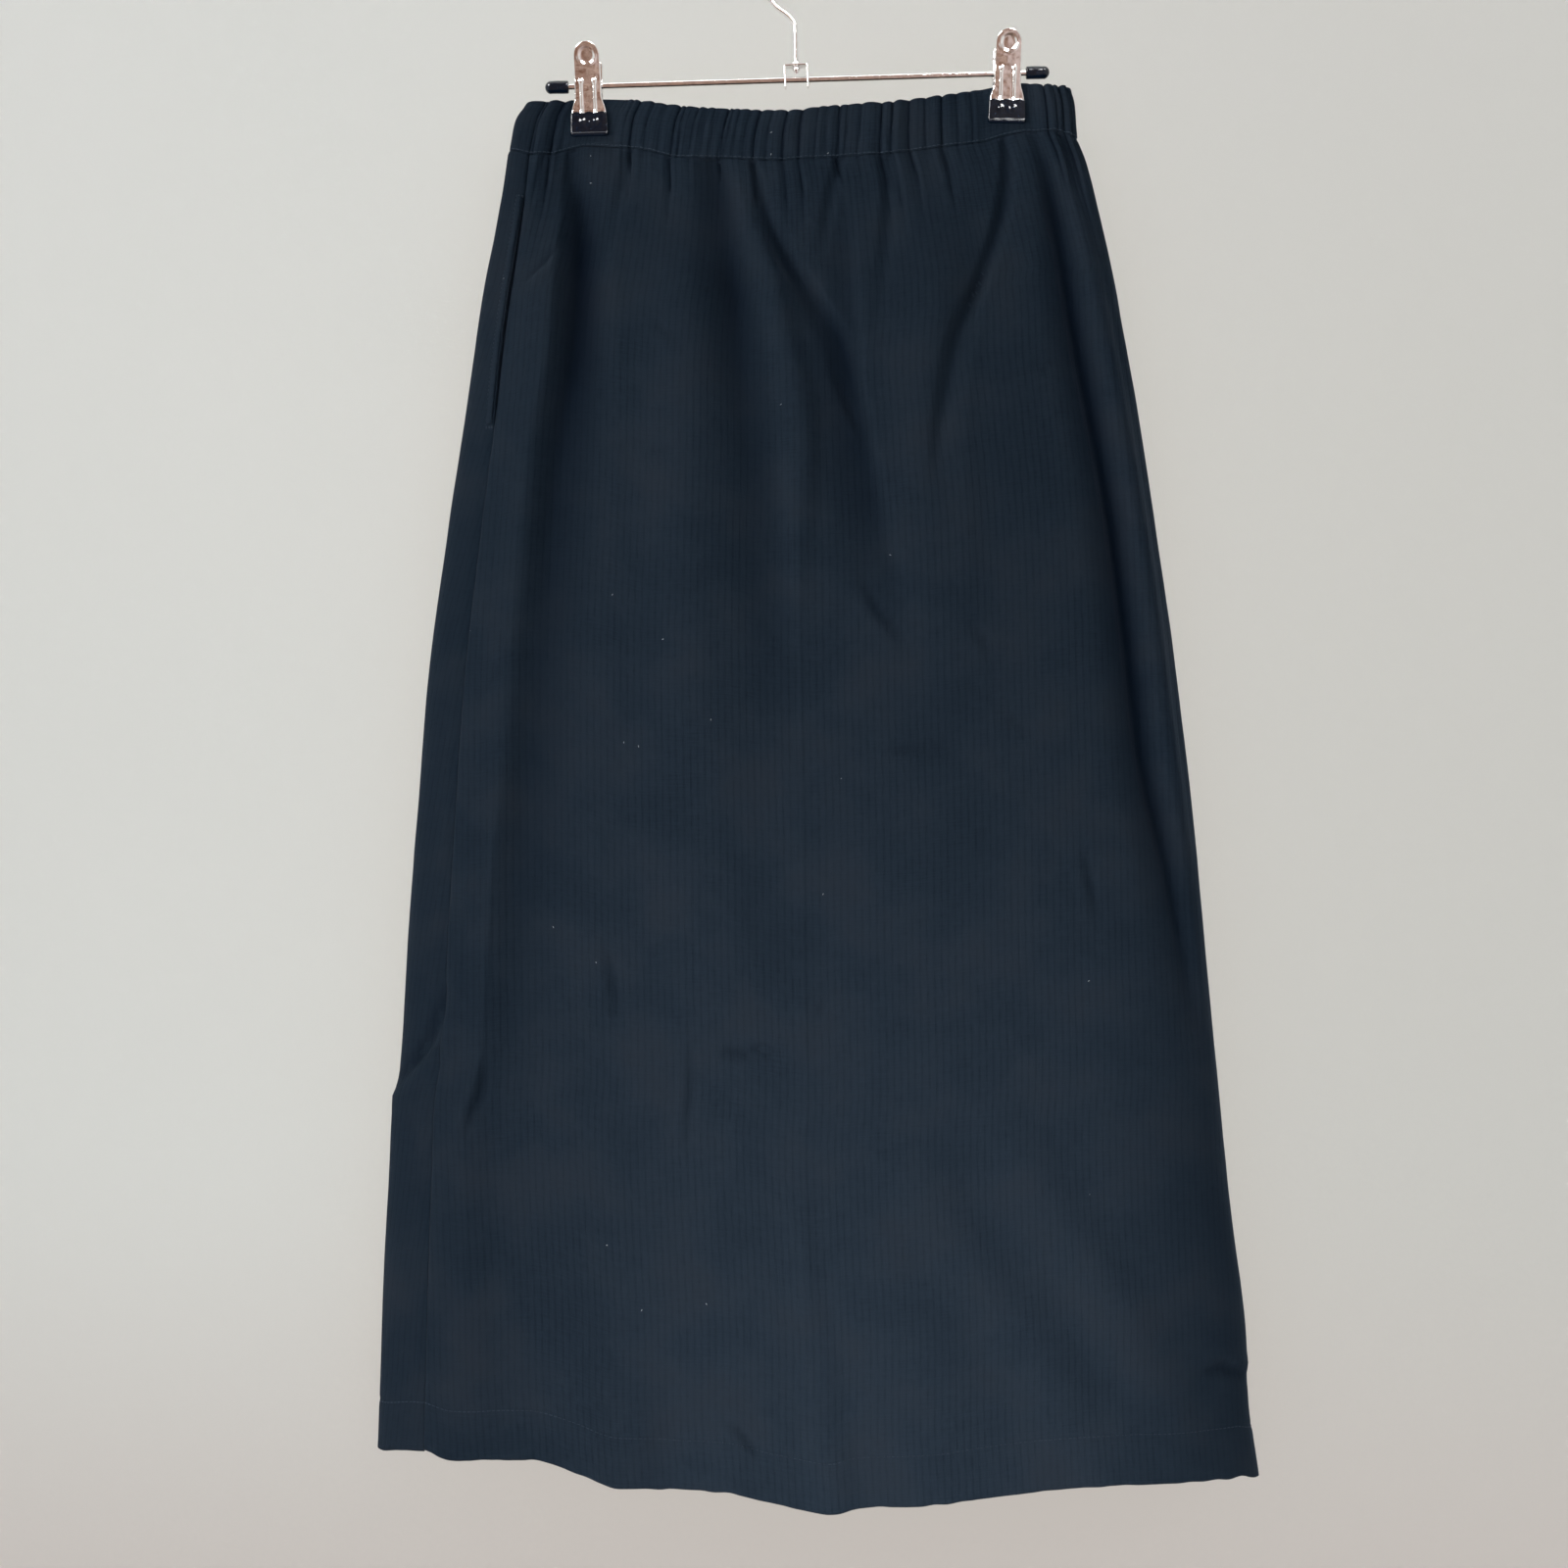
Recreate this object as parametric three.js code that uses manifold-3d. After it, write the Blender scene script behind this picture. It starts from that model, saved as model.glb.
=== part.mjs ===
// Maxi skirt hung flat from a rod hanger with two clips. Units are mm, +Z is up, the front faces -Y.
// Origin: the hook's inner top, where it rests on a rail. The plane y = 0 holds the hook, the rod and
// the skirt's two side edges.
import * as THREE from 'three';
import { mergeVertices } from 'three/addons/utils/BufferGeometryUtils.js';
import Module from 'manifold-3d';

const wasm = await Module();
wasm.setup();
const { Manifold, Mesh } = wasm;

// Tables

const table = (columns, rows) =>
  rows.map((row) => Object.fromEntries(columns.split(' ').map((name, i) => [name, row[i]])));

// The tube of cloth at rows down the skirt, 0 at the casing's stitch line to 1 at the hem: where its
// left and right edges lie, how far front and back bulge, and the power of the rounded section.
const SECTIONS = table('down left right front back power', [
  [0.00, -182.5, 178.8, 8, 6, 8],
  [0.02, -185.0, 185.9, 11, 8, 6],
  [0.05, -189.7, 192.5, 16, 10, 4.5],
  [0.10, -197.8, 202.2, 24, 12, 3.4],
  [0.15, -204.4, 209.7, 29, 13.5, 3],
  [0.20, -210.3, 217.5, 34, 15, 2.8],
  [0.30, -222.5, 230.3, 40, 16, 2.6],
  [0.40, -233.4, 242.5, 43, 17, 2.6],
  [0.50, -240.3, 252.5, 46, 18, 2.6],
  [0.60, -246.6, 260.3, 47, 19, 2.6],
  [0.70, -251.9, 268.5, 48, 20, 2.6],
  [0.735, -257.2, 271.5, 48, 20.4, 2.6],
  [0.80, -259.7, 277.2, 48, 21, 2.6],
  [0.90, -263.6, 287.2, 48, 21.5, 2.6],
  [0.935, -264.6, 287.8, 48, 21.7, 2.6],
  [1.00, -266.3, 294.7, 48, 22, 2.6],
]);

// The casing's two side edges, t from its top fold to its stitch line.
const CASING_SIDES = table('t left right', [
  [0, -171, 174.5],
  [0.35, -177.5, 177],
  [1, -182.5, 178.8],
]);

// The waist by share of the width, 0 at the left edge to 1 at the right: heights of the casing's top
// and of its stitch line, and half its thickness, thinnest between the jaws of the two clips.
const WAIST = table('share top line half', [
  [0, -103.4, -133.3, 7],
  [0.05, -103.0, -137.0, 7],
  [0.079, -102.2, -136.0, 4.4],
  [0.093, -101.7, -134.2, 3.4],
  [0.138, -101.0, -130.6, 3.4],
  [0.181, -101.3, -131.3, 3.4],
  [0.196, -101.6, -131.7, 4.4],
  [0.24, -104.0, -134.0, 6.1],
  [0.30, -107.1, -139.2, 7.8],
  [0.36, -108.6, -139.8, 9.1],
  [0.475, -110.2, -141.7, 10.3],
  [0.515, -109.1, -140.6, 10.4],
  [0.555, -107.3, -140.0, 10.2],
  [0.61, -105.8, -138.6, 9.5],
  [0.67, -104.0, -136.8, 8.5],
  [0.72, -101.8, -134.5, 7.4],
  [0.755, -100.0, -132.4, 6.6],
  [0.80, -97.3, -130.2, 5.4],
  [0.824, -95.6, -128.7, 4.4],
  [0.838, -94.7, -127.8, 3.4],
  [0.876, -92.1, -123.6, 3.4],
  [0.914, -90.6, -121.5, 3.4],
  [0.93, -91.4, -121.9, 4.6],
  [0.955, -93.0, -122.0, 7],
  [1, -93.5, -125.2, 7],
]);

// Height of the hem, front by share from the left edge and back by share from the left edge.
const HEM_FRONT = table('share z', [
  [0, -958.5], [0.06, -952.5], [0.093, -955.9], [0.18, -953.5], [0.23, -959.1], [0.283, -969], [0.40, -970.5],
  [0.44, -976.5], [0.517, -983.5], [0.54, -980.5], [0.63, -978], [0.696, -973.5], [0.80, -969.5], [0.90, -970.9],
  [0.975, -971.8], [1, -976],
]);
const HEM_BACK = table('share z', [[0, -958.5], [0.2, -967], [0.5, -975], [0.8, -978], [1, -976]]);

// Where both side seams lie, by share from their own side edge: the left one on the front, the right
// one on the back.
const SEAMS = table('down share', [[-0.04, 0.036], [0, 0.036], [0.11, 0.046], [0.3, 0.049], [0.75, 0.058], [1, 0.06]]);

// Soft folds, each a line down the cloth: its place by share, its height outward (minus for a hollow)
// and the reach of its left and right flanks.
const fold = (rows) => table('down share height left right', rows);
const FRONT_FOLDS = {
  strip_ridge: fold([
    [0.017, 0.086, 3, 25, 12], [0.051, 0.102, 5, 35, 14], [0.165, 0.120, 7, 40, 16], [0.270, 0.123, 7, 42, 16],
    [0.382, 0.127, 6, 42, 18], [0.529, 0.113, 5, 42, 20], [0.640, 0.116, 5, 42, 20], [0.757, 0.099, 4, 40, 22],
    [0.935, 0.107, 3, 40, 25], [1, 0.106, 2, 40, 25],
  ]),
  strip_hollow: fold([
    [0.008, 0.127, -3, 9, 18], [0.040, 0.138, -5, 12, 22], [0.113, 0.155, -8, 16, 28], [0.167, 0.159, -8, 16, 30],
    [0.212, 0.147, -7, 16, 32], [0.271, 0.146, -6, 16, 36], [0.346, 0.148, -5, 16, 40], [0.530, 0.142, -3, 16, 40],
    [0.751, 0.137, 0, 16, 40],
  ]),
  left_pillow: fold([
    [0.026, 0.312, 0, 38, 38], [0.112, 0.322, 7, 38, 38], [0.261, 0.344, 8, 40, 40], [0.407, 0.360, 5, 45, 45],
    [0.587, 0.373, 2, 50, 50], [0.695, 0.380, 0, 50, 50],
  ]),
  pillow_hollow: fold([
    [0.048, 0.402, 0, 15, 15], [0.110, 0.414, -4, 25, 20], [0.221, 0.440, -4, 25, 20], [0.330, 0.455, -3, 25, 22],
    [0.459, 0.469, 0, 25, 25],
  ]),
  centre_ridge: fold([
    [0.010, 0.404, 0, 12, 12], [0.047, 0.432, 4, 16, 14], [0.109, 0.466, 5, 18, 14], [0.221, 0.500, 5, 18, 14],
    [0.301, 0.496, 2, 14, 14], [0.366, 0.495, 0, 14, 14],
  ]),
  crossing_hollow: fold([
    [0.001, 0.418, -2, 8, 8], [0.046, 0.452, -5, 12, 12], [0.094, 0.499, -6, 12, 12], [0.141, 0.547, -6, 12, 14],
    [0.186, 0.555, -6, 12, 16], [0.245, 0.577, -5, 14, 18], [0.304, 0.600, -3, 16, 20], [0.370, 0.636, 0, 18, 22],
  ]),
  right_pillow: fold([
    [0.023, 0.722, 0, 30, 30], [0.116, 0.704, 5, 35, 35], [0.227, 0.691, 5, 35, 35], [0.337, 0.692, 3, 35, 35],
    [0.453, 0.701, 0, 35, 35],
  ]),
  slant_hollow: fold([
    [0.005, 0.869, -3, 7, 7], [0.044, 0.845, -5, 8, 8], [0.097, 0.792, -5, 8, 9], [0.148, 0.735, -4, 9, 9],
    [0.213, 0.700, -3, 9, 9], [0.264, 0.686, 0, 9, 9],
  ]),
  right_hollow: fold([
    [0.012, 0.926, -4, 14, 9], [0.051, 0.925, -7, 20, 11], [0.164, 0.927, -10, 30, 13], [0.309, 0.940, -10, 30, 12],
    [0.453, 0.941, -9, 30, 12], [0.562, 0.963, -6, 30, 10], [0.634, 0.972, -3, 28, 9], [0.692, 0.978, 0, 26, 8],
  ]),
  side_ridge: fold([
    [0.030, 0.954, 0, 8, 9], [0.067, 0.958, 2, 8, 9], [0.163, 0.963, 3, 10, 10], [0.309, 0.972, 3, 10, 9],
    [0.453, 0.973, 3, 10, 9], [0.561, 0.984, 0, 8, 8],
  ]),
  swell_1: fold([
    [0.727, 0.613, 0, 30, 30], [0.763, 0.628, 3, 30, 30], [0.840, 0.693, 4, 30, 30], [0.901, 0.750, 4, 32, 32],
    [0.975, 0.791, 2, 32, 32], [1, 0.809, 1, 30, 30],
  ]),
  swell_2: fold([
    [0.713, 0.730, 0, 30, 30], [0.757, 0.754, 3, 30, 30], [0.846, 0.824, 4, 30, 30], [0.919, 0.882, 3, 28, 28],
    [0.991, 0.912, 1, 25, 25],
  ]),
  hem_ridge: fold([[0.759, 0.479, 0, 14, 14], [0.801, 0.487, 2, 14, 14], [0.900, 0.504, 3, 16, 16], [1, 0.518, 5, 22, 22]]),
  hem_bulge_1: fold([[0.873, 0.242, 0, 40, 30], [0.936, 0.248, 3, 38, 28], [1, 0.252, 4, 35, 25]]),
  hem_bulge_2: fold([[0.911, 0.403, 0, 22, 14], [0.946, 0.405, 2, 22, 14], [1, 0.407, 4, 22, 14]]),
  low_bulge: fold([[0.776, 0.576, 0, 60, 60], [0.870, 0.603, 4, 60, 60], [0.941, 0.616, 3, 60, 60], [1, 0.626, 2, 55, 55]]),
};
// The back isn't seen; it carries folds of the same kinds and sizes.
const BACK_FOLDS = {
  left_ridge: fold([[0.02, 0.88, 0, 30, 30], [0.15, 0.87, 4, 34, 34], [0.45, 0.86, 4, 38, 38], [0.8, 0.87, 2, 40, 40], [1, 0.87, 2, 40, 40]]),
  left_hollow: fold([[0.01, 0.72, -2, 15, 15], [0.12, 0.74, -4, 24, 26], [0.35, 0.75, -3, 28, 30], [0.6, 0.76, 0, 30, 30]]),
  centre_hollow: fold([[0.03, 0.44, 0, 18, 18], [0.12, 0.46, -3, 24, 24], [0.30, 0.48, -3, 28, 28], [0.5, 0.5, 0, 30, 30]]),
  right_ridge: fold([[0.03, 0.27, 0, 30, 30], [0.14, 0.28, 4, 34, 36], [0.40, 0.3, 3, 38, 40], [0.7, 0.31, 0, 40, 40]]),
  low_swell_1: fold([[0.6, 0.36, 0, 40, 40], [0.8, 0.33, 4, 42, 42], [1, 0.3, 3, 40, 40]]),
  low_swell_2: fold([[0.66, 0.66, 0, 40, 40], [0.85, 0.69, 4, 42, 42], [1, 0.71, 3, 40, 40]]),
};

// Gather creases at the waist by share: those of the front as seen, those of the back spaced alike.
const FRONT_CREASES = [
  0.043, 0.074, 0.092, 0.106, 0.121, 0.138, 0.156, 0.185, 0.199, 0.213, 0.237, 0.260, 0.284, 0.296, 0.317, 0.336,
  0.353, 0.370, 0.379, 0.393, 0.412, 0.430, 0.452, 0.481, 0.510, 0.536, 0.554, 0.576, 0.590, 0.614, 0.654, 0.673,
  0.706, 0.734, 0.761, 0.791, 0.817, 0.844, 0.862, 0.882, 0.903, 0.922, 0.948, 0.965, 0.978, 0.991,
];
const DEEP_FRONT = [0.074, 0.213, 0.284, 0.370, 0.430, 0.481, 0.510, 0.576, 0.654, 0.673, 0.706, 0.761, 0.862, 0.922, 0.948, 0.978];
const BACK_CREASES = Array.from({ length: 44 }, (_, i) => (i + 0.5 + 0.24 * Math.sin(2.3 * i)) / 44);
const CREASE = { shallow: 0.6, deep: 1.3, puff: 0.9 };
const CLIP_SHARES = [0.1375, 0.876];

const WALL = 1.4;
const CASING_WALL = 3;
const HEM_WALL = 2.8;
const HEM_TURN = 0.9714;
const SEAM_GAP = 0.3;
const LINE_GAP = 0.42;
const CASING = 0.0357;
const SLIT = { top: 0.034, bottom: 0.2116, gape: 3.2 };

// Interpolation

const clamp = (v, a, b) => Math.min(b, Math.max(a, v));
const mix = (a, b, t) => a + (b - a) * t;
function smooth(a, b, v) {
  const t = clamp((v - a) / (b - a), 0, 1);
  return t * t * (3 - 2 * t);
}

// A smooth curve through a table's rows that never swings past them, held level past both ends.
function read(rows, key, column, at) {
  const last = rows.length - 1;
  if (at <= rows[0][key]) return rows[0][column];
  if (at >= rows[last][key]) return rows[last][column];
  let i = 0;
  while (at > rows[i + 1][key]) i += 1;
  const slope = (k) => (rows[k + 1][column] - rows[k][column]) / (rows[k + 1][key] - rows[k][key]);
  const tangent = (k) => {
    if (k === 0) return slope(0);
    if (k === last) return slope(last - 1);
    const a = slope(k - 1);
    const b = slope(k);
    return a * b <= 0 ? 0 : (2 * a * b) / (a + b);
  };
  const step = rows[i + 1][key] - rows[i][key];
  const t = (at - rows[i][key]) / step;
  const s = 1 - t;
  return (1 + 2 * t) * s * s * rows[i][column] + t * s * s * step * tangent(i)
    + t * t * (3 - 2 * t) * rows[i + 1][column] - t * t * s * step * tangent(i + 1);
}

// The tube of cloth. A lap runs round it: 0 at the left edge, across the front to 1 at the right edge,
// back across the back to 2.

const shareOf = (lap) => (1 - Math.cos(Math.PI * lap)) / 2;
const lapOf = (share) => Math.acos(1 - 2 * clamp(share, 0, 1)) / Math.PI;
const onFront = (lap) => ((lap % 2) + 2) % 2 < 1;
const seamLap = (down) => lapOf(read(SEAMS, 'down', 'share', down));

// A point of the smooth form, without folds or gathers.
function form(lap, down) {
  const share = shareOf(lap);
  const side = onFront(lap) ? 'front' : 'back';
  const edge = Math.abs(2 * share - 1);
  const flat = read(WAIST, 'share', 'half', share) * Math.sqrt(Math.max(0, 1 - edge ** 30));
  const line = read(WAIST, 'share', 'line', share);
  const sign = side === 'front' ? -1 : 1;
  if (down < 0) {
    const t = 1 + down / CASING;
    const left = read(CASING_SIDES, 't', 'left', t);
    const right = read(CASING_SIDES, 't', 'right', t);
    return new THREE.Vector3(mix(left, right, share), sign * flat, mix(read(WAIST, 'share', 'top', share), line, t));
  }
  const left = read(SECTIONS, 'down', 'left', down);
  const right = read(SECTIONS, 'down', 'right', down);
  const full = read(SECTIONS, 'down', side, down)
    * Math.sqrt(Math.max(0, 1 - edge ** read(SECTIONS, 'down', 'power', down)));
  const hem = read(side === 'front' ? HEM_FRONT : HEM_BACK, 'share', 'z', share);
  return new THREE.Vector3(
    mix(left, right, share),
    sign * mix(flat, full, smooth(0, 0.14, down)),
    mix(line - LINE_GAP, hem, down),
  );
}

function normalOf(surface, lap, down) {
  const low = down < 0 ? -CASING : 0;
  const high = down < 0 ? -1e-6 : 1;
  const a = surface(lap + 0.003, down).sub(surface(lap - 0.003, down));
  const b = surface(lap, clamp(down + 0.004, low, high)).sub(surface(lap, clamp(down - 0.004, low, high)));
  const normal = b.cross(a).normalize();
  // level at the stitch line, so that casing and panels stay apart there
  return normal.setZ(normal.z * smooth(0, 0.04, down)).normalize();
}

// Height of all folds at a point: each is a cosine bump on either side of its line.
function folds(lap, down) {
  if (down <= 0) return 0;
  const share = shareOf(lap);
  const width = read(SECTIONS, 'down', 'right', down) - read(SECTIONS, 'down', 'left', down);
  let height = 0;
  for (const rows of Object.values(onFront(lap) ? FRONT_FOLDS : BACK_FOLDS)) {
    if (down < rows[0].down || down > rows[rows.length - 1].down) continue;
    const off = (share - read(rows, 'down', 'share', down)) * width;
    const reach = read(rows, 'down', off < 0 ? 'left' : 'right', down);
    if (Math.abs(off) < reach) height += read(rows, 'down', 'height', down) * 0.5 * (1 + Math.cos((Math.PI * off) / reach));
  }
  const edge = Math.abs(2 * share - 1);
  return height * smooth(-0.01, 0.09, down) * (1 - smooth(0.975, 1, edge));
}

const GATHERS = [
  ...FRONT_CREASES.map((share) => ({ lap: lapOf(share), depth: DEEP_FRONT.includes(share) ? CREASE.deep : CREASE.shallow })),
  ...BACK_CREASES.map((share, i) => ({ lap: 1 + lapOf(share), depth: i % 3 === 1 ? CREASE.deep : CREASE.shallow })),
];
GATHERS.push({ lap: GATHERS[0].lap + 2, depth: GATHERS[0].depth });

// Gather creases with a puff between each two, pressed flat in the clips and fading down the panels.
function gathers(lap, down) {
  const first = GATHERS[0].lap;
  const round = first + ((((lap - first) % 2) + 2) % 2);
  let i = 0;
  while (i < GATHERS.length - 2 && round >= GATHERS[i + 1].lap) i += 1;
  const [a, b] = [GATHERS[i], GATHERS[i + 1]];
  const along = clamp((round - a.lap) / (b.lap - a.lap), 0, 1);
  const depth = mix(a.depth, b.depth, along);
  const fade = down <= 0 ? 1 : 1 - smooth(0, depth > 0.9 ? 0.075 : 0.035, down);
  return mix(-depth, CREASE.puff, Math.sin(Math.PI * along) ** 0.6) * fade * pressed(lap);
}

function pressed(lap) {
  const share = shareOf(lap);
  return Math.min(...CLIP_SHARES.map((clip) => smooth(0.043, 0.056, Math.abs(share - clip))));
}

const folded = (lap, down) => form(lap, down).addScaledVector(normalOf(form, lap, down), folds(lap, down));

// A point of the cloth moved out by lift, with or without the gathers of its outer face.
function cloth(lap, down, lift = 0, gathered = false) {
  const out = lift + (gathered ? gathers(lap, down) : 0);
  return folded(lap, down).addScaledVector(normalOf(folded, lap, down), out);
}

const innerLift = (down) => (down >= HEM_TURN ? -HEM_WALL : -mix(2.4, WALL, smooth(0, 0.06, down)));

// Closed solids from rows of points

const makeRow = (laps, start, point) => ({ at: laps.map((lap) => lap - start), points: laps.map(point) });

// Joins the rows, in order round the section, into one closed solid with flat ends. Neighbouring rows
// may have different numbers of points: they are matched by where each point lies along its row.
function shell(rows) {
  const positions = [];
  const index = [];
  const ids = rows.map((row) => row.points.map((p) => positions.push(p.x, p.y, p.z) / 3 - 1));
  const count = rows.length;
  for (let r = 0; r < count; r += 1) {
    const [a, b] = [ids[r], ids[(r + 1) % count]];
    const [atA, atB] = [rows[r].at, rows[(r + 1) % count].at];
    let i = 0;
    let j = 0;
    while (i < a.length - 1 || j < b.length - 1) {
      if (j === b.length - 1 || (i < a.length - 1 && atA[i + 1] <= atB[j + 1] + 1e-7)) {
        index.push(a[i], a[i + 1], b[j]);
        i += 1;
      } else {
        index.push(a[i], b[j + 1], b[j]);
        j += 1;
      }
    }
  }
  for (const last of [false, true]) {
    const ring = ids.map((row) => row[last ? row.length - 1 : 0]);
    for (let k = 0; 2 * k < count - 2; k += 1) {
      const quad = [ring[k], ring[k + 1], ring[count - 2 - k], ring[count - 1 - k]];
      const faces = k + 1 === count - 2 - k ? [[0, 1, 3]] : [[0, 1, 2], [0, 2, 3]];
      for (const face of faces) index.push(...(last ? [...face].reverse() : face).map((n) => quad[n]));
    }
  }
  const geometry = new THREE.BufferGeometry();
  geometry.setAttribute('position', new THREE.Float32BufferAttribute(positions, 3));
  geometry.setIndex(volume(positions, index) < 0 ? flipped(index) : index);
  return geometry;
}

function volume(positions, index) {
  const corner = (i) => new THREE.Vector3().fromArray(positions, 3 * index[i]);
  let sum = 0;
  for (let i = 0; i < index.length; i += 3) sum += corner(i).dot(corner(i + 1).cross(corner(i + 2)));
  return sum / 6;
}

const flipped = (index) => index.map((_, i) => index[i - (i % 3) + [0, 2, 1][i % 3]]);

// Laps of a row

// Even places across one face from the seam to its far edge, closer at the sides, then round the edge
// to the other seam.
function evenLaps(down, base, columns, edgeColumns) {
  const seam = seamLap(down);
  const spread = (u) => 0.25 * u + 0.375 * (1 - Math.cos(Math.PI * u));
  let [low, high] = [0, 0.5];
  for (let i = 0; i < 40; i += 1) {
    const mid = (low + high) / 2;
    if (spread(mid) < shareOf(seam)) low = mid;
    else high = mid;
  }
  const laps = Array.from({ length: columns }, (_, i) => base + lapOf(spread(mix(low, 1, i / columns))));
  for (let i = 0; i <= edgeColumns; i += 1) laps.push(base + 1 + (seam * i) / edgeColumns);
  return laps;
}

// Half the gap at a seam as a part of a lap, wider along the pocket's slit.
function gapLap(lap, down) {
  const length = form(lap + 0.004, down).distanceTo(form(lap - 0.004, down)) / 0.008;
  let gap = SEAM_GAP;
  if (lap < 1 && down > SLIT.top && down < SLIT.bottom) {
    const u = (down - SLIT.top) / (SLIT.bottom - SLIT.top);
    gap += SLIT.gape * (4 * u * (1 - u)) ** 0.6;
  }
  return gap / 2 / length;
}

// All laps of a panel's row: even ones, those of gather creases and puffs, those of narrow folds.
function rowLaps(panel, down, gathered) {
  const seam = seamLap(down);
  const start = panel.base + seam;
  const isFront = panel.base === 0;
  const first = start + gapLap(seam + (isFront ? 0 : 1), down);
  const last = start + 1 - gapLap(seam + (isFront ? 1 : 0), down);
  const width = read(SECTIONS, 'down', 'right', Math.max(down, 0)) - read(SECTIONS, 'down', 'left', Math.max(down, 0));
  const special = [];
  if (gathered) {
    for (let i = 0; i < 2 * (GATHERS.length - 1); i += 1) {
      const n = i % (GATHERS.length - 1);
      const turn = i >= GATHERS.length - 1 ? 2 : 0;
      const [a, b] = [GATHERS[n].lap + turn, GATHERS[n + 1].lap + turn];
      if (gathered === 'all') special.push(a, ...(pressed((a + b) / 2) > 0.2 ? [mix(a, b, 0.3), mix(a, b, 0.7)] : []));
      else if (gathered === 'half') special.push(a, mix(a, b, 0.5));
      else if (GATHERS[n].depth > 0.9) special.push(a);
    }
  }
  for (const rows of Object.values(isFront ? FRONT_FOLDS : BACK_FOLDS)) {
    if (down < rows[0].down || down > rows[rows.length - 1].down || gathered === 'all') continue;
    const share = read(rows, 'down', 'share', down);
    const reaches = { left: read(rows, 'down', 'left', down), right: read(rows, 'down', 'right', down) };
    if (Math.min(reaches.left, reaches.right) > 16) continue;
    for (const offset of [-reaches.left, -reaches.left / 2, 0, reaches.right / 2, reaches.right]) {
      if (Math.abs(offset) > 17 || share + offset / width > 0.997) continue;
      const lap = lapOf(share + offset / width);
      special.push(isFront ? lap : 2 - lap);
    }
  }
  const near = gathered === 'all' ? 0.004 : 0.006;
  const kept = [];
  for (const lap of special.sort((a, b) => a - b)) {
    if (lap > first + near && lap < last - near && (!kept.length || lap - kept[kept.length - 1] > near * 0.6)) kept.push(lap);
  }
  const even = evenLaps(down, panel.base, panel.columns, panel.edge)
    .slice(1, -1)
    .filter((lap) => lap > first + 0.01 && lap < last - 0.01 && kept.every((other) => Math.abs(lap - other) > 0.0125));
  return { start, laps: [first, ...[...kept, ...even].sort((a, b) => a - b), last] };
}

const PANEL_ROWS = table('down gathered', [
  [0, 'all'], [0.012, 'all'], [0.034, 'half'], [0.065, 'deep'], [0.105, null], [0.16, null], [0.2116, null],
  [0.29, null], [0.38, null], [0.48, null], [0.58, null], [0.68, null], [0.735, null], [0.80, null], [0.87, null],
  [0.935, null], [0.9665, null], [HEM_TURN, null], [1, null],
]);
const CASING_ROWS = table('t inset', [[1, 0], [0.62, 0], [0.26, 0], [0.05, 0.45]]);
const FRONT = { base: 0, columns: 42, edge: 3 };
const BACK = { base: 1, columns: 32, edge: 3 };

function panelSolid(panel) {
  const outer = PANEL_ROWS.map(({ down, gathered }) => {
    const { start, laps } = rowLaps(panel, down, gathered);
    return makeRow(laps, start, (lap) => cloth(lap, down, 0, true));
  });
  const inner = PANEL_ROWS.map(({ down }) => {
    const { start, laps } = rowLaps(panel, down, null);
    return makeRow(laps, start, (lap) => cloth(lap, down, innerLift(down)));
  });
  const hem = rowLaps(panel, 1, null);
  const turn = makeRow(hem.laps, hem.start, (lap) => cloth(lap, 1, -HEM_WALL / 2).setZ(cloth(lap, 1).z - 0.9));
  return shell([...outer, turn, ...inner.reverse()]);
}

function casingSolid(panel) {
  const place = (t) => (t - 1) * CASING - 1e-6;
  const gathered = rowLaps(panel, place(1), 'all');
  const plain = rowLaps(panel, place(1), null);
  const outer = CASING_ROWS.map(({ t, inset }) => makeRow(gathered.laps, gathered.start, (lap) => cloth(lap, place(t), -inset, true)));
  const fold = makeRow(gathered.laps, gathered.start, (lap) => {
    const p = cloth(lap, place(0), -CASING_WALL / 2);
    return p.setZ(p.z + 0.5 * gathers(lap, 0));
  });
  const inner = CASING_ROWS.map(({ t, inset }) => makeRow(plain.laps, plain.start, (lap) => cloth(lap, place(t), inset - CASING_WALL)));
  return shell([...outer, fold, ...inner.reverse()]);
}

// Pocket: a narrow band lying on the back panel beside the slit, and a flat pouch behind both panels

const BAND = { width: 5, inset: 0.9, lift: 0.3, wall: 1.1 };
const POUCH = { gap: 0.4, hang: 3, wall: 1.8, top: 0.034, bottom: 0.33, widest: 0.27 };

function bandSolid() {
  const downs = PANEL_ROWS.map((row) => row.down).filter((down) => down >= SLIT.top && down <= SLIT.bottom);
  const row = (down, lift) => {
    const seam = seamLap(down);
    const perMm = gapLap(seam, 0.5) / (SEAM_GAP / 2);
    const edge = seam - gapLap(seam, down) - BAND.inset * perMm;
    const laps = [edge - BAND.width * perMm, edge - (BAND.width / 2) * perMm, edge];
    return makeRow(laps, seam, (lap) => cloth(lap, down, lift));
  };
  const lifts = (down) => (down < 0.04 ? 1.2 : BAND.lift);
  return shell([
    ...downs.map((down) => row(down, lifts(down) + BAND.wall)),
    ...[...downs].reverse().map((down) => row(down, lifts(down))),
  ]);
}

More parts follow.
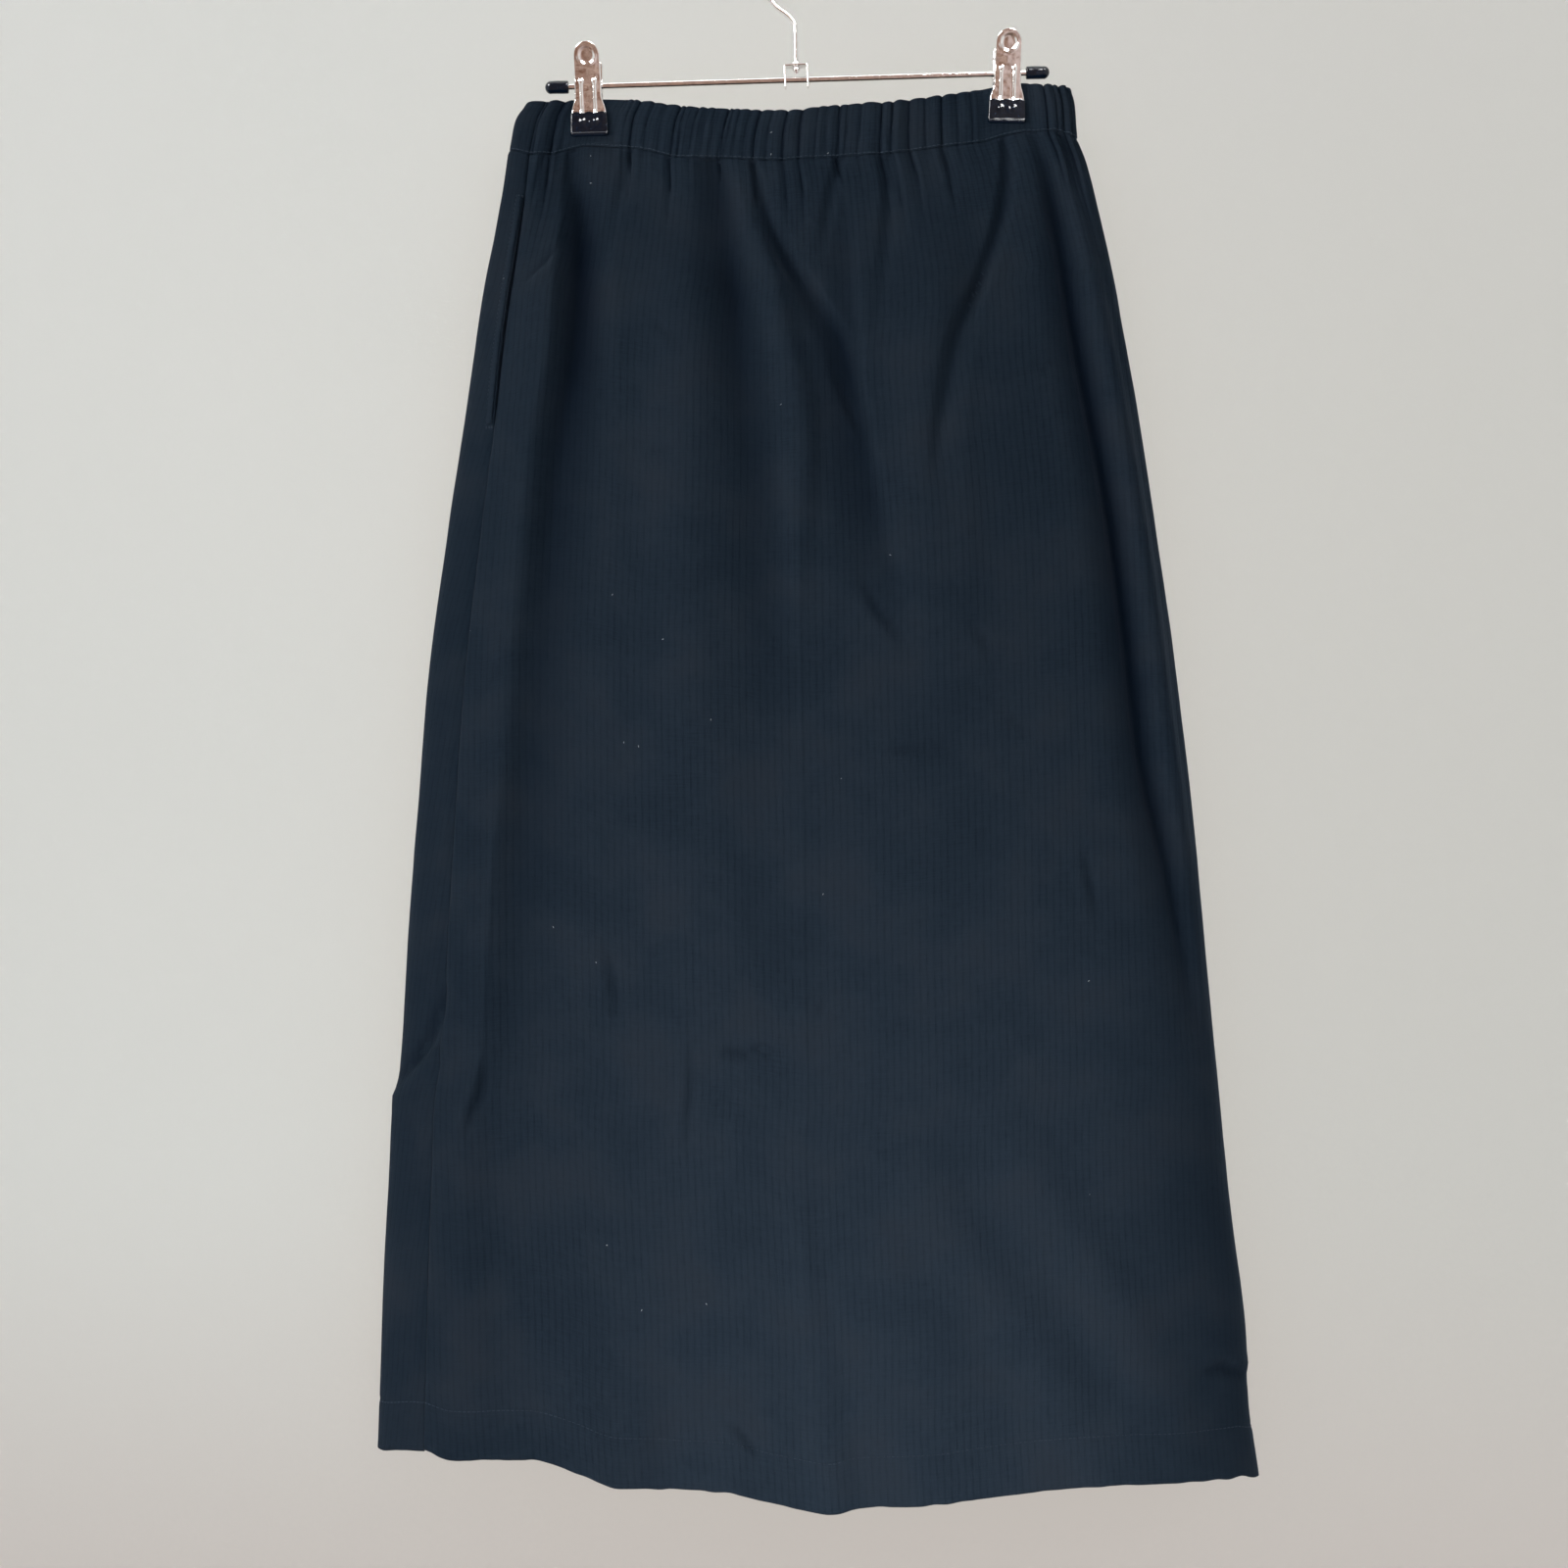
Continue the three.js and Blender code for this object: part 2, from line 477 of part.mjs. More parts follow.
function pouchSolid() {
  const downs = PANEL_ROWS.map((row) => row.down).filter((down) => down >= POUCH.top && down < POUCH.bottom);
  const row = (down, depth) => {
    const seam = seamLap(down);
    const round = Math.sqrt(1 - smooth(0.14, POUCH.bottom + 0.02, down) ** 2);
    const limit = lapOf(shareOf(seam) + POUCH.widest * round);
    const front = rowLaps(FRONT, down, null).laps.filter((lap) => lap < limit);
    const back = rowLaps(BACK, down, null).laps.slice(-2).map((lap) => lap - 2);
    return makeRow([...back, ...front], seam, (lap) => {
      const hang = POUCH.hang * smooth(0, 0.05, shareOf(lap) - shareOf(seam)) * smooth(0.034, 0.1, down);
      return cloth(lap, down, innerLift(down) - POUCH.gap - hang - depth);
    });
  };
  return shell([...downs.map((down) => row(down, 0)), ...[...downs].reverse().map((down) => row(down, POUCH.wall))]);
}

// Hanger

const ROD = { radius: 1.9, left: -156.6, right: 158.5, z: -87.7, tilt: 1.76 };
const CAP = { radius: 4, bore: 2.25, length: 15, depth: 12 };
const rodHeight = (x) => ROD.z + x * Math.tan(THREE.MathUtils.degToRad(ROD.tilt));

// Side view of a clip's front plate: the middle of the sheet at each height above the rod.
const PLATE_SIDE = table('z y', [[24, -14], [8, -8.6], [1, -6.8], [-6, -7.1], [-17, -5.05], [-32.2, -5.05]]);
// Front view of the plate: half its width; the tongue below runs inside the jaw pad.
const PLATE_FRONT = table('z half', [[15.6, 8.4], [-8, 8.4], [-18, 11.1], [-18.2, 10.3], [-31.2, 10.3], [-32.2, 9.3]]);
const PLATE = { half: 0.45, headRadius: 8.4, rib: 0.7, ribWidth: 2.2, ribAt: 4.4 };
const EAR = { thick: 0.9, radius: 4.2, bore: 2.9 };
const SPRING = { inner: 2.6, outer: 3.9, half: 5.3 };
const PAD = { top: -18.5, bottom: -33.5, near: -3.75, far: -6.35, halfTop: 11.7, halfBottom: 12.2, corner: 1.6 };
const SLOT = { clear: 0.3, half: 10.6, bottom: -32.5 };

const CLIPS = table('name x tilt', [['left', -132, -1.76], ['right', 134.5, 1]]);

const shapeOf = (points) => new THREE.Shape(points.map(([x, y]) => new THREE.Vector2(x, y)));
const extrude = (shape, depth, curveSegments = 8) =>
  new THREE.ExtrudeGeometry(shape, { depth, bevelEnabled: false, curveSegments });

// A drawing in the (y, z) plane made solid along x, and one in the (x, z) plane made solid along y.
const alongX = (shape, from, to) =>
  extrude(shape, to - from).applyMatrix4(new THREE.Matrix4().makeBasis(
    new THREE.Vector3(0, 1, 0), new THREE.Vector3(0, 0, 1), new THREE.Vector3(1, 0, 0),
  )).translate(from, 0, 0);
const alongY = (shape, from, to, segments) =>
  extrude(shape, to - from, segments).applyMatrix4(new THREE.Matrix4().makeBasis(
    new THREE.Vector3(1, 0, 0), new THREE.Vector3(0, 0, 1), new THREE.Vector3(0, -1, 0),
  )).translate(0, to, 0);
const box = (x0, x1, y0, y1, z0, z1) =>
  new THREE.BoxGeometry(x1 - x0, y1 - y0, z1 - z0).translate((x0 + x1) / 2, (y0 + y1) / 2, (z0 + z1) / 2);
const cylinderX = (radius, x0, x1, segments = 20) =>
  new THREE.CylinderGeometry(radius, radius, x1 - x0, segments).rotateZ(Math.PI / 2).translate((x0 + x1) / 2, 0, 0);
const cylinderZ = (radius, z0, z1, segments = 16) =>
  new THREE.CylinderGeometry(radius, radius, z1 - z0, segments).rotateX(Math.PI / 2).translate(0, 0, (z0 + z1) / 2);

function toManifold(geometry) {
  const bare = geometry.clone();
  bare.deleteAttribute('normal');
  bare.deleteAttribute('uv');
  const merged = mergeVertices(bare, 1e-4);
  return new Manifold(new Mesh({
    numProp: 3,
    vertProperties: new Float32Array(merged.attributes.position.array),
    triVerts: new Uint32Array(merged.index.array),
  }));
}

function toGeometry(manifold) {
  const mesh = manifold.getMesh();
  const geometry = new THREE.BufferGeometry();
  geometry.setAttribute('position', new THREE.Float32BufferAttribute(mesh.vertProperties, 3));
  geometry.setIndex([...mesh.triVerts]);
  return geometry;
}

function rod() {
  return cylinderX(ROD.radius, ROD.left, ROD.right, 20)
    .rotateY(-THREE.MathUtils.degToRad(ROD.tilt)).translate(0, 0, ROD.z);
}

// A round-nosed sleeve, closed at its outer end, over the end of the rod.
function rodCap(sign) {
  const nose = Array.from({ length: 5 }, (_, i) => {
    const turn = (i / 4) * (Math.PI / 2);
    return [CAP.radius * Math.cos(turn), CAP.length - CAP.radius + CAP.radius * Math.sin(turn)];
  });
  nose[nose.length - 1][0] = 0;
  const profile = [[0, CAP.depth], [CAP.bore, CAP.depth], [CAP.bore, 0], [CAP.radius - 0.4, 0], [CAP.radius, 0.5], ...nose, [0, CAP.depth]];
  const end = (sign < 0 ? ROD.left : ROD.right) * Math.cos(THREE.MathUtils.degToRad(ROD.tilt));
  return new THREE.LatheGeometry(profile.map(([r, z]) => new THREE.Vector2(r, z)), 16)
    .rotateZ(sign < 0 ? Math.PI / 2 : -Math.PI / 2)
    .translate(-sign * (CAP.depth - 0.3), 0, 0)
    .rotateY(-THREE.MathUtils.degToRad(ROD.tilt))
    .translate(end, 0, rodHeight(end));
}

// Front plate of a clip about its rod centre; the back plate is the same turned half round.
function clipPlate(earX) {
  const strip = (near, far, rows) => shapeOf([
    ...rows.map(({ y, z }) => [y + near, z]),
    ...[...rows].reverse().map(({ y, z }) => [y - far, z]),
  ]);
  const side = toManifold(alongX(strip(PLATE.half, PLATE.half, PLATE_SIDE), -14, 14));
  const outline = shapeOf([
    ...PLATE_FRONT.map(({ z, half }) => [half, z]),
    ...[...PLATE_FRONT].reverse().map(({ z, half }) => [-half, z]),
    ...Array.from({ length: 9 }, (_, i) => Math.PI * (1 - (i + 1) / 10))
      .map((turn) => [PLATE.headRadius * Math.cos(turn), 15.6 + PLATE.headRadius * Math.sin(turn)]),
  ]);
  let plate = side.intersect(toManifold(alongY(outline, -18, 0, 10)));
  const ribs = PLATE_SIDE.filter(({ z }) => z < 8 && z > -18).map(({ y, z }) => ({ y, z: Math.max(z, -17.8) }));
  const ribSide = strip(0, PLATE.half + PLATE.rib, ribs);
  for (const x of [-PLATE.ribAt, PLATE.ribAt]) {
    plate = plate.add(toManifold(alongX(ribSide, x - PLATE.ribWidth / 2, x + PLATE.ribWidth / 2)));
  }
  const ear = new THREE.Shape();
  ear.moveTo(-6.75, 7);
  ear.lineTo(-6.75, -7);
  ear.lineTo(-EAR.radius * Math.sin(0.9), -EAR.radius * Math.cos(0.9));
  ear.absarc(0, 0, EAR.radius, -Math.PI / 2 - 0.9, Math.PI / 2 + 0.9, false);
  for (const x of [-earX, earX]) {
    plate = plate.add(toManifold(alongX(ear, x - EAR.thick / 2, x + EAR.thick / 2)));
  }
  return toGeometry(plate.subtract(toManifold(cylinderX(EAR.bore, -12, 12))));
}

// Soft jaw pad slipped over the plate's tongue.
function jawPad() {
  const { top, bottom, halfTop, halfBottom, corner } = PAD;
  const outline = new THREE.Shape();
  outline.moveTo(-halfTop, top);
  outline.lineTo(-halfBottom, bottom + corner);
  outline.quadraticCurveTo(-halfBottom, bottom, -halfBottom + corner, bottom);
  outline.lineTo(halfBottom - corner, bottom);
  outline.quadraticCurveTo(halfBottom, bottom, halfBottom, bottom + corner);
  outline.lineTo(halfTop, top);
  const middle = PLATE_SIDE[PLATE_SIDE.length - 1].y;
  const reach = PLATE.half + SLOT.clear;
  const slot = box(-SLOT.half, SLOT.half, middle - reach, middle + reach, SLOT.bottom, top + 1);
  return toGeometry(toManifold(alongY(outline, PAD.far, PAD.near, 3)).subtract(toManifold(slot)));
}

function clipSpring() {
  return toGeometry(toManifold(cylinderX(SPRING.outer, -SPRING.half, SPRING.half, 20))
    .subtract(toManifold(cylinderX(SPRING.inner, -8, 8, 20))));
}

// U-shaped saddle over the rod; the hook's stem passes through its top.
const SADDLE = { half: 7.7, wall: 1, top: -78.2, plate: 1.2, foot: -92.3, depth: 3.4, bore: 2.6, stemBore: 1.9, tilt: 3, x: 0.5 };

function saddle() {
  const { half, wall, top, plate, foot, depth, bore, stemBore } = SADDLE;
  const base = top - plate;
  const profile = shapeOf([
    [-half, foot], [-half + wall, foot], [-half + wall, base], [half - wall, base], [half - wall, foot], [half, foot],
    [half, top - 0.6], [half - 0.6, top], [-half + 0.6, top], [-half, top - 0.6],
  ]);
  const solid = toManifold(alongY(profile, -depth, depth))
    .subtract(toManifold(cylinderX(bore, -12, 12, 16).translate(0, 0, ROD.z)))
    .subtract(toManifold(cylinderZ(stemBore, base - 2, top + 2)));
  return toGeometry(solid).translate(0, 0, -ROD.z)
    .rotateY(-THREE.MathUtils.degToRad(SADDLE.tilt)).translate(SADDLE.x, 0, ROD.z);
}

// Wire hook: a stem through the saddle, a bend to the left, then round over the top.
const HOOK = { wire: 1.5, radius: 22.5, from: 223.8, to: -24, head: 2.5, stemX: 0 };

function hook() {
  const centre = new THREE.Vector3(0, 0, HOOK.wire - HOOK.radius);
  const points = [[0.3, -82.3], [0, -70], [-0.2, -58], [-1.2, -51.2], [-5.6, -46], [-11.9, -41.5]]
    .map(([x, z]) => new THREE.Vector3(x, 0, z));
  for (let i = 0; i <= 12; i += 1) {
    const turn = THREE.MathUtils.degToRad(mix(HOOK.from, HOOK.to, i / 12));
    points.push(new THREE.Vector3(centre.x + HOOK.radius * Math.cos(turn), 0, centre.z + HOOK.radius * Math.sin(turn)));
  }
  const path = new THREE.CatmullRomCurve3(points, false, 'centripetal');
  const wire = new THREE.ExtrudeGeometry(new THREE.Shape().absarc(0, 0, HOOK.wire, 0, 2 * Math.PI, false), {
    steps: 40, curveSegments: 4, bevelEnabled: false, extrudePath: path,
  });
  const head = cylinderZ(HOOK.head, -82.4, -80.7, 14).translate(0.3, 0, 0);
  return toGeometry(toManifold(wire).add(toManifold(head)));
}

// Materials and nodes

const COLOURS = {
  cloth: 0x232b33,
  pouch: 0x1d242b,
  steel: 0xb9b7b4,
  vinyl: 0x14171b,
};
const material = Object.fromEntries(Object.entries(COLOURS).map(([name, color]) => [
  name, new THREE.MeshStandardMaterial({
    color, roughness: name === 'steel' ? 0.2 : name === 'vinyl' ? 0.35 : 0.9, metalness: name === 'steel' ? 1 : 0,
  }),
]));

const skirt = new THREE.Group();
skirt.name = 'maxi_skirt';

function add(name, geometry, slot) {
  geometry.computeVertexNormals();
  const mesh = new THREE.Mesh(geometry, material[slot]);
  mesh.name = name;
  skirt.add(mesh);
}

add('waistband_front', casingSolid(FRONT), 'cloth');
add('waistband_back', casingSolid(BACK), 'cloth');
add('front_panel', panelSolid(FRONT), 'cloth');
add('back_panel', panelSolid(BACK), 'cloth');
add('pocket_edge_band', bandSolid(), 'cloth');
add('pocket_bag', pouchSolid(), 'pouch');
add('hanger_rod', rod(), 'steel');
add('rod_cap_left', rodCap(-1), 'vinyl');
add('rod_cap_right', rodCap(1), 'vinyl');
for (const { name, x, tilt } of CLIPS) {
  const seat = (geometry) => geometry.rotateY(THREE.MathUtils.degToRad(tilt)).translate(x, 0, rodHeight(x));
  add(`clip_${name}_front`, seat(clipPlate(7.6)), 'steel');
  add(`clip_${name}_back`, seat(clipPlate(6.3).rotateZ(Math.PI)), 'steel');
  add(`clip_${name}_pad_front`, seat(jawPad()), 'vinyl');
  add(`clip_${name}_pad_back`, seat(jawPad().rotateZ(Math.PI)), 'vinyl');
  add(`clip_${name}_spring`, seat(clipSpring()), 'steel');
}
add('hook_saddle', saddle(), 'steel');
add('hook', hook(), 'steel');

export default skirt;
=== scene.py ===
"""Maxi skirt of dark ribbed cotton, hung from a rod hanger by two clips.

All shapes are worked out in millimetres, +Z up and the front facing -Y, and are scaled to metres when a
mesh is made. The skirt is one tube of cloth: a lap runs round it, 0 at the left edge, across the front to
1 at the right edge and across the back to 2. Down runs from 0 at the casing's stitch line to 1 at the hem
and is below 0 on the casing.
"""
import logging
import math
from dataclasses import dataclass, field
from enum import Enum
from typing import Callable, Iterable, Sequence

import bpy
import numpy as np
from bpy.types import Collection, Material, Node, NodeSocket, NodeTree, Object, World
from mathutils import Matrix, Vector


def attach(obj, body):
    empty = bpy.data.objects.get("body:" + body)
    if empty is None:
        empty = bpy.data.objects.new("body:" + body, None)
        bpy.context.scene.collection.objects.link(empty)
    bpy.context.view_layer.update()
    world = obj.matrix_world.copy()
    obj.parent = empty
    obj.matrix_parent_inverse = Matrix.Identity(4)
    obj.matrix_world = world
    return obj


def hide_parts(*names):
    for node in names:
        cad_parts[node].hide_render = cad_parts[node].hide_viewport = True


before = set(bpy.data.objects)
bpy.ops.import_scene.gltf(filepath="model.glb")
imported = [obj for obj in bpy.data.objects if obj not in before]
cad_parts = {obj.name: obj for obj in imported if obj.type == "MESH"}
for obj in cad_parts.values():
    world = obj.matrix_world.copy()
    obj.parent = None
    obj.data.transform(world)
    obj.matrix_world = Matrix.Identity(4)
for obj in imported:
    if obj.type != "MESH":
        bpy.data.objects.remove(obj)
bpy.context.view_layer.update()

log = logging.getLogger("skirt")

MM = 0.001
Array = np.ndarray
Point = tuple[float, float, float]
Colour = tuple[float, float, float]
Faces = list[tuple[int, ...]]
Solid = tuple[Array, Faces]


# Tables

@dataclass(frozen=True)
class Table:
    """Rows with named columns, read as a smooth curve that never swings past them."""

    columns: str
    rows: tuple[tuple[float, ...], ...]

    def read(self, column: str, at: Array | float) -> Array:
        """Reads a column along the first one, held level past both ends.

        Args:
            column: Name of the column to read.
            at: Places along the first column.

        Returns:
            The column's value at each place.
        """
        data = np.array(self.rows, float)
        x, y = data[:, 0], data[:, self.columns.split().index(column)]
        slope = np.diff(y) / np.diff(x)
        product, total = slope[:-1] * slope[1:], slope[:-1] + slope[1:]
        inner = np.where(product > 0, 2 * product / np.where(total == 0, 1, total), 0)
        tangent = np.concatenate([slope[:1], inner, slope[-1:]])
        at = np.clip(at, x[0], x[-1])
        i = np.clip(np.searchsorted(x, at, side="right") - 1, 0, len(x) - 2)
        step = (x[1:] - x[:-1])[i]
        t = (at - x[i]) / step
        s = 1 - t
        return ((1 + 2 * t) * s * s * y[i] + t * s * s * step * tangent[i]
                + t * t * (3 - 2 * t) * y[i + 1] - t * t * s * step * tangent[i + 1])

    def span(self) -> tuple[float, float]:
        """First and last place of the table."""
        return self.rows[0][0], self.rows[-1][0]


def fold(*rows: tuple[float, ...]) -> Table:
    """A soft fold: its line by share, its height outward, and the reach of both flanks in mm."""
    return Table("down share height left right", rows)


# Left and right edge, bulge of front and back, and the power of the rounded section.
SECTIONS = Table("down left right front back power", (
    (0.00, -182.5, 178.8, 8, 6, 8),
    (0.02, -185.0, 185.9, 11, 8, 6),
    (0.05, -189.7, 192.5, 16, 10, 4.5),
    (0.10, -197.8, 202.2, 24, 12, 3.4),
    (0.15, -204.4, 209.7, 29, 13.5, 3),
    (0.20, -210.3, 217.5, 34, 15, 2.8),
    (0.30, -222.5, 230.3, 40, 16, 2.6),
    (0.40, -233.4, 242.5, 43, 17, 2.6),
    (0.50, -240.3, 252.5, 46, 18, 2.6),
    (0.60, -246.6, 260.3, 47, 19, 2.6),
    (0.70, -251.9, 268.5, 48, 20, 2.6),
    (0.735, -257.2, 271.5, 48, 20.4, 2.6),
    (0.80, -259.7, 277.2, 48, 21, 2.6),
    (0.90, -263.6, 287.2, 48, 21.5, 2.6),
    (0.935, -264.6, 287.8, 48, 21.7, 2.6),
    (1.00, -266.3, 294.7, 48, 22, 2.6),
))
# Left and right end of the casing, from its top to the stitch line.
CASING_SIDES = Table("t left right", ((0, -171, 174.5), (0.35, -177.5, 177), (1, -182.5, 178.8)))
# Height of the casing's top edge and of its stitch line, and half the waist's depth.
WAIST = Table("share top line half", (
    (0, -103.4, -133.3, 7),
    (0.05, -103.0, -137.0, 7),
    (0.079, -102.2, -136.0, 4.4),
    (0.093, -101.7, -134.2, 3.4),
    (0.138, -101.0, -130.6, 3.4),
    (0.181, -101.3, -131.3, 3.4),
    (0.196, -101.6, -131.7, 4.4),
    (0.24, -104.0, -134.0, 6.1),
    (0.30, -107.1, -139.2, 7.8),
    (0.36, -108.6, -139.8, 9.1),
    (0.475, -110.2, -141.7, 10.3),
    (0.515, -109.1, -140.6, 10.4),
    (0.555, -107.3, -140.0, 10.2),
    (0.61, -105.8, -138.6, 9.5),
    (0.67, -104.0, -136.8, 8.5),
    (0.72, -101.8, -134.5, 7.4),
    (0.755, -100.0, -132.4, 6.6),
    (0.80, -97.3, -130.2, 5.4),
    (0.824, -95.6, -128.7, 4.4),
    (0.838, -94.7, -127.8, 3.4),
    (0.876, -92.1, -123.6, 3.4),
    (0.914, -90.6, -121.5, 3.4),
    (0.93, -91.4, -121.9, 4.6),
    (0.955, -93.0, -122.0, 7),
    (1, -93.5, -125.2, 7),
))
HEM_FRONT = Table("share z", (
    (0, -958.5), (0.06, -952.5), (0.093, -955.9), (0.18, -953.5), (0.23, -959.1), (0.283, -969),
    (0.40, -970.5), (0.44, -976.5), (0.517, -983.5), (0.54, -980.5), (0.63, -978), (0.696, -973.5),
    (0.80, -969.5), (0.90, -970.9), (0.975, -971.8), (1, -976),
))
HEM_BACK = Table("share z", ((0, -958.5), (0.2, -967), (0.5, -975), (0.8, -978), (1, -976)))
SEAMS = Table("down share", ((-0.04, 0.037), (0, 0.037), (0.11, 0.0485), (0.3, 0.0535), (0.75, 0.059),
                             (1, 0.06)))

# Long folds, which the part's own panels carry too.
FRONT_FOLDS = {
    "strip_ridge": fold(
        (0.017, 0.086, 3, 25, 12), (0.051, 0.102, 5, 35, 14), (0.165, 0.120, 7, 40, 16),
        (0.270, 0.123, 7, 42, 16), (0.382, 0.127, 6, 42, 18), (0.529, 0.113, 5, 42, 20),
        (0.640, 0.116, 5, 42, 20), (0.757, 0.099, 4, 40, 22), (0.935, 0.107, 3, 40, 25),
        (1, 0.106, 2, 40, 25)),
    "strip_hollow": fold(
        (0.008, 0.127, -4, 9, 16), (0.040, 0.138, -7, 12, 20), (0.113, 0.155, -10, 16, 26),
        (0.167, 0.159, -10, 16, 32), (0.212, 0.149, -8.4, 16, 40), (0.271, 0.147, -7, 16, 44),
        (0.346, 0.148, -5.8, 16, 48), (0.530, 0.142, -4, 16, 50), (0.751, 0.137, 0, 16, 45)),
    "left_pillow": fold(
        (0.026, 0.312, 0, 38, 38), (0.112, 0.322, 7, 38, 38), (0.261, 0.344, 8, 40, 40),
        (0.407, 0.360, 5, 45, 45), (0.587, 0.373, 2, 50, 50), (0.695, 0.380, 0, 50, 50)),
    "pillow_hollow": fold(
        (0.048, 0.402, 0, 15, 15), (0.110, 0.414, -4, 25, 20), (0.221, 0.440, -4, 25, 20),
        (0.330, 0.455, -3, 25, 22), (0.459, 0.469, 0, 25, 25)),
    "centre_ridge": fold(
        (0.010, 0.404, 0, 12, 12), (0.047, 0.432, 4, 16, 14), (0.109, 0.466, 5, 18, 14),
        (0.221, 0.500, 5, 18, 14), (0.301, 0.496, 2, 14, 14), (0.366, 0.495, 0, 14, 14)),
    "crossing_hollow": fold(
        (0.001, 0.418, -2, 8, 8), (0.046, 0.450, -5, 12, 12), (0.080, 0.484, -6, 12, 11),
        (0.110, 0.525, -6.5, 16, 10), (0.141, 0.560, -7, 24, 9), (0.186, 0.578, -7, 32, 9),
        (0.222, 0.588, -6.5, 36, 10), (0.258, 0.597, -5.5, 38, 11), (0.304, 0.611, -3, 38, 13),
        (0.370, 0.636, 0, 34, 18)),
    "right_pillow": fold(
        (0.023, 0.722, 0, 30, 30), (0.116, 0.704, 5, 35, 35), (0.227, 0.691, 5, 35, 35),
        (0.337, 0.692, 3, 35, 35), (0.453, 0.701, 0, 35, 35)),
    "slant_hollow": fold(
        (0.005, 0.869, -3, 7, 7), (0.044, 0.845, -5, 8, 8), (0.097, 0.792, -5, 8, 9),
        (0.148, 0.735, -4, 9, 9), (0.213, 0.700, -3, 9, 9), (0.264, 0.686, 0, 9, 9)),
    "right_hollow": fold(
        (0.012, 0.926, -3, 14, 9), (0.051, 0.925, -5, 18, 11), (0.164, 0.927, -6.5, 28, 12),
        (0.309, 0.940, -6.5, 30, 12), (0.453, 0.941, -6, 30, 12), (0.562, 0.963, -4.5, 30, 10),
        (0.634, 0.972, -2.5, 28, 9), (0.692, 0.978, 0, 26, 8)),
    "side_ridge": fold(
        (0.030, 0.954, 0, 8, 9), (0.067, 0.958, 2, 8, 9), (0.163, 0.963, 3, 10, 10),
        (0.309, 0.972, 3, 10, 9), (0.453, 0.973, 3, 10, 9), (0.561, 0.984, 0, 8, 8)),
    "swell_1": fold(
        (0.727, 0.613, 0, 30, 30), (0.763, 0.628, 2.4, 32, 30), (0.840, 0.693, 3.3, 34, 30),
        (0.901, 0.750, 3.2, 36, 32), (0.975, 0.791, 1.6, 36, 32), (1, 0.809, 1, 30, 30)),
    "swell_2": fold(
        (0.713, 0.730, 0, 30, 30), (0.757, 0.754, 2.2, 32, 30), (0.846, 0.824, 3, 34, 30),
        (0.919, 0.882, 2.2, 30, 28), (0.991, 0.912, 1, 25, 25)),
    "hem_ridge": fold(
        (0.759, 0.479, 0, 14, 14), (0.801, 0.487, 1.4, 15, 14), (0.900, 0.504, 2.2, 18, 17),
        (1, 0.518, 3.4, 22, 22)),
    "hem_bulge_1": fold((0.873, 0.242, 0, 40, 30), (0.936, 0.248, 2, 38, 28), (1, 0.252, 2.6, 35, 25)),
    "hem_bulge_2": fold((0.911, 0.403, 0, 22, 14), (0.946, 0.405, 0.8, 22, 15), (1, 0.407, 1.8, 22, 16)),
    "low_bulge": fold(
        (0.776, 0.576, 0, 60, 60), (0.870, 0.603, 4, 62, 62), (0.941, 0.616, 3, 62, 62),
        (1, 0.626, 2, 55, 55)),
}
BACK_FOLDS = {
    "left_ridge": fold(
        (0.02, 0.88, 0, 30, 30), (0.15, 0.87, 4, 34, 34), (0.45, 0.86, 4, 38, 38), (0.8, 0.87, 2, 40, 40),
        (1, 0.87, 2, 40, 40)),
    "left_hollow": fold(
        (0.01, 0.72, -2, 15, 15), (0.12, 0.74, -4, 24, 26), (0.35, 0.75, -3, 28, 30),
        (0.6, 0.76, 0, 30, 30)),
    "centre_hollow": fold(
        (0.03, 0.44, 0, 18, 18), (0.12, 0.46, -3, 24, 24), (0.30, 0.48, -3, 28, 28), (0.5, 0.5, 0, 30, 30)),
    "right_ridge": fold(
        (0.03, 0.27, 0, 30, 30), (0.14, 0.28, 4, 34, 36), (0.40, 0.3, 3, 38, 40), (0.7, 0.31, 0, 40, 40)),
    "low_swell_1": fold((0.6, 0.36, 0, 40, 40), (0.8, 0.33, 4, 42, 42), (1, 0.3, 3, 40, 40)),
    "low_swell_2": fold((0.66, 0.66, 0, 40, 40), (0.85, 0.69, 4, 42, 42), (1, 0.71, 3, 40, 40)),
}
